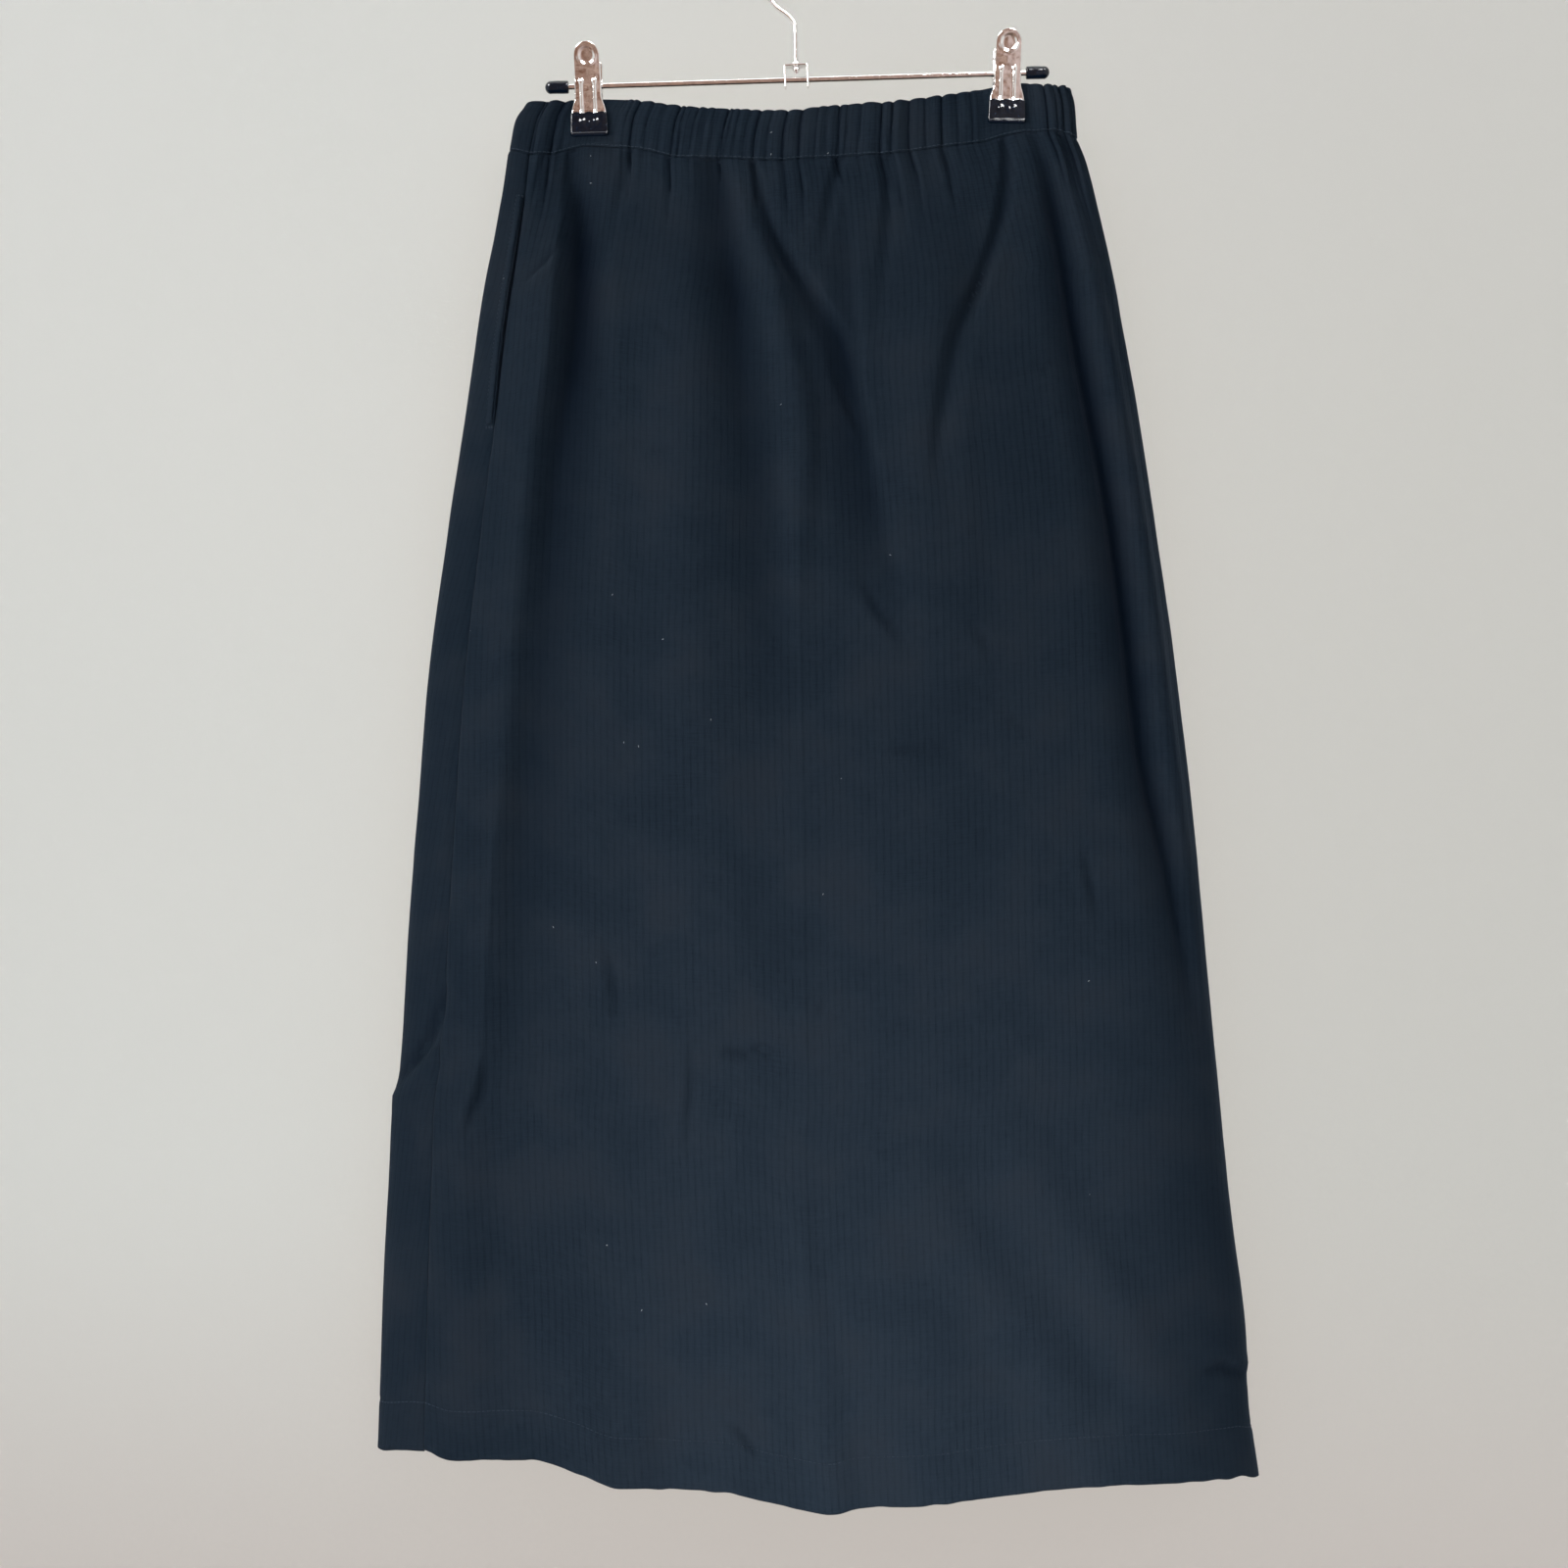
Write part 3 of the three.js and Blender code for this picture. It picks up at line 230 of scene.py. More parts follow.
# Narrow folds that only the dressed cloth carries.
FINE_FRONT_FOLDS = {
    "strip_top": fold(
        (0.0, 0.110, -3.4, 6, 9), (0.02, 0.112, -3.8, 7, 13), (0.05, 0.128, -3, 9, 16),
        (0.11, 0.150, 0, 12, 20)),
    "strip_nip": fold((0.0, 0.062, -1.6, 4, 4), (0.018, 0.058, -1.3, 4, 4), (0.045, 0.055, 0, 4, 4)),
    "left_trough": fold(
        (0.0, 0.214, -2.8, 6, 4.5), (0.022, 0.207, -2.6, 8, 5), (0.05, 0.199, -1.8, 9, 6),
        (0.10, 0.196, 0, 9, 6)),
    "left_nip": fold((0.0, 0.281, -2, 4, 3.5), (0.015, 0.281, -1.5, 5, 4), (0.045, 0.284, 0, 6, 5)),
    "band_hollow": fold(
        (0.0, 0.362, -5, 20, 12), (0.03, 0.372, -6.4, 23, 14), (0.08, 0.388, -6, 27, 15),
        (0.15, 0.404, -3.2, 28, 16), (0.25, 0.42, 0, 30, 16)),
    "crossing_top": fold(
        (0.0, 0.430, -3.4, 5, 4), (0.02, 0.437, -3.4, 6, 5), (0.05, 0.456, -2.4, 8, 6),
        (0.10, 0.503, 0, 9, 8)),
    "waist_trough_1": fold((0.0, 0.583, -3.4, 7, 5), (0.033, 0.556, -2.8, 8, 6), (0.085, 0.531, 0, 8, 6)),
    "waist_trough_2": fold((0.0, 0.666, -3.2, 8, 5), (0.066, 0.645, -2.4, 9, 6), (0.135, 0.617, 0, 9, 7)),
    "waist_trough_3": fold((0.0, 0.770, -2, 5, 4), (0.012, 0.768, -1.7, 6, 5), (0.05, 0.764, 0, 6, 5)),
    "slant_top": fold(
        (0.0, 0.872, -3.2, 5, 5), (0.022, 0.862, -3.4, 7, 6), (0.05, 0.842, -2, 8, 7),
        (0.09, 0.80, 0, 8, 7)),
    "right_top": fold(
        (0.0, 0.925, -2.4, 8, 5), (0.03, 0.926, -2.6, 9, 5), (0.09, 0.927, 0, 12, 8)),
    "right_line": fold(
        (0.02, 0.922, -1, 8, 6), (0.06, 0.922, -3.4, 9, 7), (0.164, 0.9245, -4.4, 10, 8),
        (0.309, 0.938, -4.4, 10, 8), (0.453, 0.939, -4, 10, 8), (0.562, 0.961, -2.8, 9, 7),
        (0.66, 0.973, 0, 8, 6)),
    "right_end": fold((0.0, 0.972, -3.4, 7, 5), (0.02, 0.974, -3.8, 9, 5), (0.055, 0.974, 0, 9, 6)),
    "cross_field": fold(
        (0.02, 0.574, 0, 12, 9), (0.055, 0.577, -2.4, 17, 10), (0.14, 0.579, -2.8, 20, 9),
        (0.2, 0.585, 0, 20, 9)),
    "slant_field": fold(
        (0.06, 0.800, 0, 16, 10), (0.12, 0.765, -2.5, 22, 11), (0.19, 0.722, -3, 24, 12),
        (0.27, 0.700, -2, 26, 14), (0.36, 0.695, 0, 28, 16)),
    "hem_hollow": fold((0.897, 0.316, 0, 22, 22), (0.984, 0.321, -2, 22, 22), (1, 0.321, -2, 22, 22)),
    "press_crease": fold(
        (0.26, 0.4965, 0, 3, 3), (0.34, 0.4955, 0.75, 3.2, 3.2), (0.6, 0.494, 0.7, 3.2, 3.2),
        (0.82, 0.494, 0.55, 3.2, 3.2), (0.9, 0.4955, 0, 4, 4)),
    "strip_edge": fold(
        (0.50, 0.1135, 0, 5, 3), (0.56, 0.1135, 0.9, 7, 2.6), (0.64, 0.1130, 1.1, 7, 2.6),
        (0.70, 0.1105, 0.8, 7, 2.6), (0.757, 0.100, 0.7, 7, 3), (0.85, 0.106, 0.4, 7, 3),
        (0.95, 0.107, 0, 7, 3)),
}
FINE_BACK_FOLDS = {
    "press_crease": fold(
        (0.22, 0.507, 0, 3, 3), (0.3, 0.506, 0.75, 3.2, 3.2), (0.6, 0.506, 0.7, 3.2, 3.2),
        (0.84, 0.505, 0.5, 3.2, 3.2), (0.92, 0.505, 0, 4, 4)),
    "waist_trough_1": fold((0.003, 0.30, -3, 7, 7), (0.04, 0.32, -2.5, 7, 7), (0.10, 0.35, 0, 7, 7)),
    "waist_trough_2": fold((0.003, 0.60, -2.5, 6, 6), (0.05, 0.585, -2, 7, 7), (0.12, 0.56, 0, 7, 7)),
    "waist_trough_3": fold((0.003, 0.81, -3, 6, 6), (0.05, 0.80, -2.5, 7, 7), (0.13, 0.77, 0, 7, 7)),
}

# Gather creases of the waist by share, and the deep ones among the front's.
FRONT_CREASES = (
    0.043, 0.074, 0.092, 0.106, 0.121, 0.138, 0.156, 0.185, 0.199, 0.213, 0.237, 0.260,
    0.284, 0.296, 0.317, 0.336, 0.353, 0.370, 0.379, 0.393, 0.412, 0.430, 0.452, 0.481,
    0.510, 0.536, 0.554, 0.576, 0.590, 0.614, 0.654, 0.673, 0.706, 0.734, 0.761, 0.791,
    0.817, 0.844, 0.862, 0.882, 0.903, 0.922, 0.948, 0.965, 0.978, 0.991,
)
DEEP_FRONT = (
    0.074, 0.213, 0.284, 0.370, 0.430, 0.481, 0.510, 0.576,
    0.654, 0.673, 0.706, 0.761, 0.862, 0.922, 0.948, 0.978,
)
BACK_CREASES = tuple((i + 0.5 + 0.24 * math.sin(2.3 * i)) / 44 for i in range(44))
CLIP_SHARES = (0.1375, 0.876)

# Thicknesses and gaps of the cloth, and the length from the stitch line to the hem, in mm.
WALL = 1.4
CASING_WALL = 3.0
HEM_WALL = 2.8
SEAM_GAP = 0.3
LINE_GAP = 0.42
SLIT_GAPE = 3.2
SKIRT_LENGTH = 862.0
# Places down the skirt, and the casing's height, as parts of that length.
HEM_TURN = 0.9714
HEM_STITCH = 0.9637
CASING = 0.0357
SLIT_TOP = 0.034
SLIT_BOTTOM = 0.2116
# How far across the back's noise and its flat places lie from the front's, in mm.
BACK_NOISE = 2000
BACK_PLACES = 3000


@dataclass(frozen=True)
class Crease:
    """A small crease pressed into one face: points of share and down, its depth and reach in mm."""

    points: tuple[tuple[float, float], ...]
    depth: float
    reach: float


FRONT_SMALL_CREASES = (
    Crease(((0.376, 0.681), (0.42, 0.674), (0.469, 0.663)), 0.9, 3.0),
    Crease(((0.266, 0.131), (0.30, 0.142), (0.328, 0.146)), 0.5, 2.6),
    Crease(((0.838, 0.174), (0.86, 0.178), (0.884, 0.171)), 0.6, 3.0),
    Crease(((0.359, 0.659), (0.361, 0.753)), 0.5, 2.4),
    Crease(((0.0, 0.720), (0.043, 0.686), (0.059, 0.6485)), 1.6, 4.5),
    Crease(((0.119, 0.699), (0.116, 0.728), (0.096, 0.757)), 0.8, 3.4),
    Crease(((0.998, 0.927), (0.965, 0.918), (0.94, 0.922)), 1.2, 4.0),
    Crease(((0.75, 0.43), (0.79, 0.447)), 0.5, 3.0),
    Crease(((0.715, 0.353), (0.735, 0.372), (0.748, 0.392)), 0.4, 3.0),
    Crease(((0.402, 0.946), (0.44, 0.968)), 0.5, 3.0),
    Crease(((0.575, 0.318), (0.60, 0.345), (0.637, 0.372)), 0.7, 3.0),
    Crease(((0.545, 0.155), (0.575, 0.195), (0.60, 0.222)), 0.5, 3.0),
    Crease(((0.244, 0.225), (0.33, 0.232)), 0.35, 3.0),
    Crease(((0.59, 0.448), (0.66, 0.452), (0.71, 0.438)), 0.5, 3.4),
    Crease(((0.415, 0.562), (0.45, 0.585)), 0.4, 3.0),
    Crease(((0.06, 0.105), (0.10, 0.092), (0.12, 0.078)), 0.6, 3.0),
    Crease(((0.845, 0.535), (0.86, 0.585)), 0.5, 3.4),
    Crease(((0.255, 0.60), (0.275, 0.66)), 0.5, 3.6),
    Crease(((0.49, 0.62), (0.515, 0.635), (0.525, 0.615)), 0.4, 2.6),
    Crease(((0.30, 0.335), (0.39, 0.338)), 0.3, 3.0),
)
BACK_SMALL_CREASES = (
    Crease(((0.22, 0.60), (0.28, 0.585), (0.33, 0.59)), 0.8, 3.2),
    Crease(((0.55, 0.70), (0.60, 0.715), (0.66, 0.71)), 0.7, 3.0),
    Crease(((0.0, 0.72), (0.04, 0.69), (0.06, 0.655)), 1.4, 4.5),
    Crease(((0.70, 0.21), (0.75, 0.222)), 0.5, 3.0),
    Crease(((0.36, 0.30), (0.37, 0.38)), 0.5, 2.6),
    Crease(((0.80, 0.50), (0.83, 0.55)), 0.6, 3.4),
    Crease(((0.42, 0.90), (0.47, 0.93)), 0.5, 3.0),
    Crease(((0.16, 0.86), (0.22, 0.84)), 0.5, 3.4),
    Crease(((0.60, 0.45), (0.68, 0.46)), 0.4, 3.0),
)


def smooth(a: float, b: float, v: Array | float) -> Array:
    """Eased step from 0 at a to 1 at b."""
    t = np.clip((np.asarray(v, float) - a) / (b - a), 0, 1)
    return t * t * (3 - 2 * t)


def mix(a: Array | float, b: Array | float, t: Array | float) -> Array:
    """Straight blend from a at 0 to b at 1."""
    return a + (b - a) * t


def unit(v: Array) -> Array:
    """Vectors scaled to length 1 along their last axis."""
    return v / np.maximum(np.linalg.norm(v, axis=-1, keepdims=True), 1e-12)


def share_of(lap: Array) -> Array:
    """Share of the width, 0 at the left edge to 1 at the right, at a lap."""
    return (1 - np.cos(np.pi * np.asarray(lap, float))) / 2


def lap_of(share: Array | float) -> Array:
    """Lap on the front at a share of the width."""
    return np.arccos(1 - 2 * np.clip(share, 0, 1)) / np.pi


def seam_lap(down: Array | float) -> Array:
    """Lap of the left seam, which the right one repeats one lap on."""
    return lap_of(SEAMS.read("share", down))


def value_noise(u: Array, v: Array, cell: tuple[float, float], seed: int) -> Array:
    """Smooth random heights from -1 to 1.

    Args:
        u: Places across, in mm.
        v: Places down, in mm.
        cell: Size of one swell across and down, in mm.
        seed: Seed of the random draws.

    Returns:
        A height at each place.
    """
    count = 64
    lattice = np.random.default_rng(seed).uniform(-1, 1, (count, count))
    x, y = np.broadcast_arrays(u / cell[0], v / cell[1])
    i, j = np.floor(x).astype(int), np.floor(y).astype(int)
    fx, fy = smooth(0, 1, x - i), smooth(0, 1, y - j)

    def corner(a: int, b: int) -> Array:
        """Height at one corner of each place's cell."""
        return lattice[(i + a) % count, (j + b) % count]

    return mix(mix(corner(0, 0), corner(1, 0), fx), mix(corner(0, 1), corner(1, 1), fx), fy)


class Face(Enum):
    """The two cut panels of the skirt, by the lap at which each one's own half starts."""

    FRONT = 0
    BACK = 1

    @property
    def word(self) -> str:
        """The face's name in node names."""
        return self.name.lower()


@dataclass
class SkirtForm:
    """The shape of the hung cloth, its folds, gathers and small relief, as points in mm."""

    shallow: float = 1.0
    deep: float = 1.95
    puff: float = 0.62
    crease_gain: float = 2.8
    skew: float = 0.3
    seam_roll: float = 0.7
    ridge: float = 0.35
    rumple: float = 0.42
    laps: Array = field(init=False)
    depths: Array = field(init=False)
    skews: Array = field(init=False)
    swells: Array = field(init=False)

    def __post_init__(self) -> None:
        """Lays the gather creases of both faces in order round the waist."""
        front = [(float(lap_of(s)), self.deep if s in DEEP_FRONT else self.shallow) for s in FRONT_CREASES]
        back = [(1 + float(lap_of(s)), self.deep if i % 3 == 1 else self.shallow)
                for i, s in enumerate(BACK_CREASES)]
        creases = front + back
        creases.append((creases[0][0] + 2, creases[0][1]))
        self.laps = np.array([lap for lap, _ in creases])
        self.depths = np.array([depth for _, depth in creases])
        draws = np.random.default_rng(17)
        self.skews = draws.uniform(-1, 1, len(creases)) * self.skew
        self.swells = draws.uniform(0.45, 1.3, len(creases))

    def form(self, lap: Array, down: Array) -> Array:
        """Points of the smooth tube, without folds or gathers."""
        lap, down = np.asarray(lap, float), np.asarray(down, float)
        share = share_of(lap)
        front = lap % 2 < 1
        edge = np.abs(2 * share - 1)
        sign = np.where(front, -1.0, 1.0)
        flat = WAIST.read("half", share) * np.sqrt(np.maximum(0, 1 - edge ** 30))
        line = WAIST.read("line", share)
        t = 1 + np.minimum(down, 0) / CASING
        above = np.stack(np.broadcast_arrays(
            mix(CASING_SIDES.read("left", t), CASING_SIDES.read("right", t), share),
            sign * flat,
            mix(WAIST.read("top", share), line, t),
        ), -1)
        low = np.maximum(down, 0)
        bulge = np.where(front, SECTIONS.read("front", low), SECTIONS.read("back", low))
        full = bulge * np.sqrt(np.maximum(0, 1 - edge ** SECTIONS.read("power", low)))
        hem = np.where(front, HEM_FRONT.read("z", share), HEM_BACK.read("z", share))
        below = np.stack(np.broadcast_arrays(
            mix(SECTIONS.read("left", low), SECTIONS.read("right", low), share),
            sign * mix(flat, full, smooth(0, 0.14, low)),
            mix(line - LINE_GAP, hem, low),
        ), -1)
        return np.where((down < 0)[..., None], above, below)

    def normal(self, surface: Callable[[Array, Array], Array], lap: Array, down: Array) -> Array:
        """Outward direction of a surface, level at the stitch line.

        Args:
            surface: Function of lap and down that gives points.
            lap: Laps.
            down: Places down the skirt.

        Returns:
            Unit vectors.
        """
        down = np.asarray(down, float)
        low, high = np.where(down < 0, -CASING, 0), np.where(down < 0, -1e-6, 1)
        across = surface(lap + 0.003, down) - surface(lap - 0.003, down)
        ahead, behind = np.clip(down + 0.004, low, high), np.clip(down - 0.004, low, high)
        along = surface(lap, ahead) - surface(lap, behind)
        out = unit(np.cross(along, across))
        out[..., 2] *= smooth(0, 0.04, down)
        return unit(out)

    def width(self, down: Array) -> Array:
        """Width of the skirt, edge to edge."""
        low = np.maximum(down, 0)
        return SECTIONS.read("right", low) - SECTIONS.read("left", low)

    def folds(self, lap: Array, down: Array) -> Array:
        """Height of all the folds, each a rounded bump or hollow on either side of its line."""
        lap, down = np.asarray(lap, float), np.asarray(down, float)
        share, front = share_of(lap), np.asarray(lap) % 2 < 1
        height = np.zeros(np.broadcast(lap, down).shape)
        settled, sudden = smooth(-0.01, 0.09, down), smooth(-0.012, 0.006, down)
        groups = ((front, FRONT_FOLDS, settled), (front, FINE_FRONT_FOLDS, sudden),
                  (~front, BACK_FOLDS, settled), (~front, FINE_BACK_FOLDS, sudden))
        for side, tables, onset in groups:
            if not side.any():
                continue
            for table in tables.values():
                first, last = table.span()
                off = (share - table.read("share", down)) * self.width(down)
                reach = np.where(off < 0, table.read("left", down), table.read("right", down))
                bump = table.read("height", down) * 0.5 * (1 + np.cos(np.pi * np.clip(off / reach, -1, 1)))
                height += np.where(side & (down >= first) & (down <= last), bump * onset, 0)
        edge = np.abs(2 * share - 1)
        return np.where(down > 0, height * (1 - smooth(0.975, 1, edge)), 0)

    def pressed(self, lap: Array) -> Array:
        """0 where a clip presses the casing flat, 1 away from it."""
        share = share_of(lap)
        return np.minimum(*[smooth(0.043, 0.056, np.abs(share - clip)) for clip in CLIP_SHARES])

    def gathers(self, lap: Array, down: Array) -> Array:
        """Height of the waist's gather creases and the puffs between them, fading down the panels."""
        lap, down = np.asarray(lap, float), np.asarray(down, float)
        t = 1 + np.minimum(down, 0) / CASING
        slant = value_noise(lap * 60, 0 * lap, (1, 1), 41)
        wander = (0.0034 * slant * (t - 1) + 0.0009 * np.sin(5.2 * t + 37 * lap)) * (down < 0)
        first = self.laps[0]
        place = first + (lap + wander - first) % 2
        i = np.clip(np.searchsorted(self.laps, place, side="right") - 1, 0, len(self.laps) - 2)
        gap = self.laps[i + 1] - self.laps[i]
        along = np.clip((place - self.laps[i]) / gap, 0, 1)
        near = np.where(along < 0.5, i, i + 1)
        depth = mix(self.depths[i], self.depths[i + 1], along)
        reach = np.choose(near % 3, [
            np.ones_like(t + lap), smooth(-0.2, 0.75, t) + 0 * lap, smooth(1.25, 0.4, t) + 0 * lap])
        is_deep = depth > 0.5 * (self.shallow + self.deep)
        strength = np.where(down < 0, np.where(is_deep, 1, mix(0.45, 1, reach)), 1)
        fade = np.where(down <= 0, 1, 1 - smooth(0, 1, np.maximum(down, 0) / np.where(is_deep, 0.075, 0.03)))
        wide = np.clip(gap / 0.018, 0.55, 1.35) * self.swells[i]
        swollen = np.where(down > 0, mix(0.6, 1.1, is_deep), 1)
        skewed = self.skews[i] * wide * np.sin(2 * np.pi * along)
        crown = np.sin(np.pi * along) ** np.where(down > 0, 0.5, 0.42)
        profile = mix(-depth * strength, self.puff * wide, crown)
        return (profile + skewed) * swollen * fade * self.pressed(lap)

    def folded(self, lap: Array, down: Array) -> Array:
        """Points of the tube with its folds."""
        points = self.form(lap, down)
        if np.all(np.asarray(down) <= 0):
            return points
        return points + self.normal(self.form, lap, down) * self.folds(lap, down)[..., None]

    def flat_place(self, lap: Array, down: Array) -> tuple[Array, Array]:
        """Distances across from the centre line and down from the stitch line, in mm."""
        down = np.asarray(down, float)
        return (share_of(lap) - 0.5) * self.width(down), SKIRT_LENGTH * down

    def creases(self, lap: Array, down: Array) -> Array:
        """Height of the small pressed creases: a thin valley with a soft ridge along one side."""
        x, y = self.flat_place(lap, down)
        front = np.asarray(lap) % 2 < 1
        height = np.zeros(np.broadcast(x, y).shape)
        for side, creases in ((front, FRONT_SMALL_CREASES), (~front, BACK_SMALL_CREASES)):
            for crease in creases:
                ends = np.array([[(s - 0.5) * float(self.width(np.array(d))), SKIRT_LENGTH * d]
                                 for s, d in crease.points])
                lengths = np.linalg.norm(np.diff(ends, axis=0), axis=1)
                best = np.full(height.shape, 1e9)
                offset, at = np.zeros(height.shape), np.zeros(height.shape)
                for k, length in enumerate(lengths):
                    (ax, ay), (bx, by) = ends[k], ends[k + 1]
                    along = np.clip(((x - ax) * (bx - ax) + (y - ay) * (by - ay)) / length ** 2, 0, 1)
                    dx, dy = x - ax - along * (bx - ax), y - ay - along * (by - ay)
                    distance = np.hypot(dx, dy)
                    closer = distance < best
                    best = np.where(closer, distance, best)
                    side_of = np.sign((bx - ax) * dy - (by - ay) * dx)
                    offset = np.where(closer, distance * side_of, offset)
                    at = np.where(closer, (lengths[:k].sum() + along * length) / lengths.sum(), at)
                valley = -np.exp(-(offset / crease.reach) ** 2)
                bank = 0.55 * np.exp(-((offset - 1.9 * crease.reach) / (1.3 * crease.reach)) ** 2)
                ends_fade = np.sin(np.pi * np.clip(at, 0.04, 0.96)) ** 0.7
                height += np.where(side, self.crease_gain * crease.depth * (valley + bank) * ends_fade, 0)
        return height

    def seam_distance(self, lap: Array, down: Array) -> Array:
        """Signed distance round the tube from the nearer side seam, in mm."""
        seam = seam_lap(down)
        off = (np.asarray(lap) - seam + 0.5) % 1 - 0.5
        step = np.pi / 2 * np.sin(np.pi * seam) * self.width(np.asarray(down, float))
        return off * step

    def relief(self, lap: Array, down: Array) -> Array:
        """Small relief of the sewn and worn cloth: creases, rumples, seams and the turned hem."""
        lap, down = np.asarray(lap, float), np.asarray(down, float)
        x, y = self.flat_place(lap, down)
        x = x + np.where(lap % 2 < 1, 0, BACK_NOISE)
        rumple = (value_noise(x, y, (46, 74), 3) * 0.9 + value_noise(x, y, (19, 33), 4) * 0.42
                  + value_noise(x, y, (9, 15), 5) * 0.16 + value_noise(x, y, (5, 4), 6) * 0.06)
        height = self.creases(lap, down) + self.rumple * rumple * smooth(0, 0.05, down)
        off = self.seam_distance(lap, down)
        pucker = value_noise(y * np.ones_like(off), off, (7.5, 9), 7)
        allowance = smooth(11, 9, np.abs(off)) * smooth(0.0, 2.0, np.abs(off))
        under_top = smooth(SLIT_TOP - 0.012, SLIT_TOP, down)
        open_slit = under_top * smooth(SLIT_BOTTOM + 0.012, SLIT_BOTTOM, down) * (lap < 1)
        height += (self.ridge * allowance + 0.32 * pucker * np.exp(-(off / 7) ** 2)) * (1 - open_slit)
        height -= self.seam_roll * np.exp(-(off / 1.1) ** 2)
        to_hem = (HEM_STITCH - down) * SKIRT_LENGTH
        hem_pucker = value_noise(x, to_hem, (6.5, 12), 8)
        height -= 0.38 * np.exp(-(to_hem / 1.5) ** 2)
        height += ((0.28 + 0.16 * hem_pucker) * smooth(-0.5, -3, to_hem)
                   + 0.2 * hem_pucker * np.exp(-(to_hem / 8) ** 2))
        from_line = down * SKIRT_LENGTH
        return height - 0.55 * np.exp(-(from_line / 1.4) ** 2)

    def casing_relief(self, lap: Array, down: Array) -> Array:
        """Small relief of the casing: pinched at the stitch line, soft wrinkles between the creases."""
        t = 1 + np.minimum(down, 0) / CASING
        x, _ = self.flat_place(lap, down)
        x = x + np.where(np.asarray(lap) % 2 < 1, 0, BACK_NOISE)
        height = 31.0 * (1 - t)
        wrinkle = value_noise(x, height, (5.5, 21), 11) * 0.42 + value_noise(x, height, (3.2, 9), 12) * 0.18
        groove = -0.55 * np.exp(-(height / 1.3) ** 2) - 0.25 * np.exp(-((height - 27.5) / 1.6) ** 2)
        seam = self.seam_roll * np.exp(-(self.seam_distance(lap, down) / 1.1) ** 2)
        return (wrinkle + groove) * mix(0.35, 1, self.pressed(lap)) - seam

    def cloth(self, lap: Array, down: Array, lift: Array | float = 0.0, gathered: float = 0.0,
              detailed: bool = True) -> Array:
        """Points of the cloth's face.

        Args:
            lap: Laps.
            down: Places down the skirt.
            lift: Distance moved out along the face's own direction.
            gathered: How much of the gathers the face shows, 0 to 1.
            detailed: Whether the small relief is added.

        Returns:
            Points in mm.
        """
        lap, down = np.asarray(lap, float), np.asarray(down, float)
        out = lift + gathered * self.gathers(lap, down)
        if detailed:
            out = out + np.where(down < 0, self.casing_relief(lap, down), self.relief(lap, down))
        return self.folded(lap, down) + self.normal(self.folded, lap, down) * np.asarray(out)[..., None]

    def inner_lift(self, down: Array) -> Array:
        """How far inside the outer face the panel's own inner face lies, thicker in the turned hem."""
        down = np.asarray(down, float)
        return -mix(mix(2.4, WALL, smooth(0, 0.06, down)), HEM_WALL, smooth(HEM_STITCH, HEM_TURN, down))

    def gap_lap(self, lap: Array, down: Array) -> Array:
        """Half the gap at a seam as a part of a lap, wider along the pocket's slit."""
        down = np.asarray(down, float)
        length = np.linalg.norm(self.form(lap + 0.004, down) - self.form(lap - 0.004, down), axis=-1) / 0.008
        u = np.clip((down - SLIT_TOP) / (SLIT_BOTTOM - SLIT_TOP), 0, 1)
        slit = np.where(np.asarray(lap) < 1, SLIT_GAPE * (4 * u * (1 - u)) ** 0.6, 0)
        return (SEAM_GAP + slit) / 2 / length

    def row_laps(self, face: Face, down: Array, columns: int, edge_columns: int) -> Array:
        """Laps of a panel's grid: even across its face, closer at the sides, then round the far edge.

        Args:
            face: Which panel.
            down: The rows' places down the skirt.
            columns: Steps across the face.
            edge_columns: Steps round the far edge to the seam.

        Returns:
            An array of one row of laps for each place down.
        """
        seam = seam_lap(down)
        u = np.linspace(0, 1, 4001)
        spread = 0.25 * u + 0.375 * (1 - np.cos(np.pi * u))
        start = np.interp(share_of(seam), spread, u)[:, None]
        across = np.linspace(0, 1, columns, endpoint=False)[None, :]
        face_laps = lap_of(np.interp(mix(start, 1, across), u, spread))
        edge_laps = 1 + seam[:, None] * np.linspace(0, 1, edge_columns + 1)[None, :]
        laps = face.value + np.concatenate([face_laps, edge_laps], 1)
        opposite = 0 if face is Face.BACK else 1
        laps[:, 0] += self.gap_lap(seam + (1 - opposite), down)
        laps[:, -1] -= self.gap_lap(seam + opposite, down)
        return laps


# Meshes

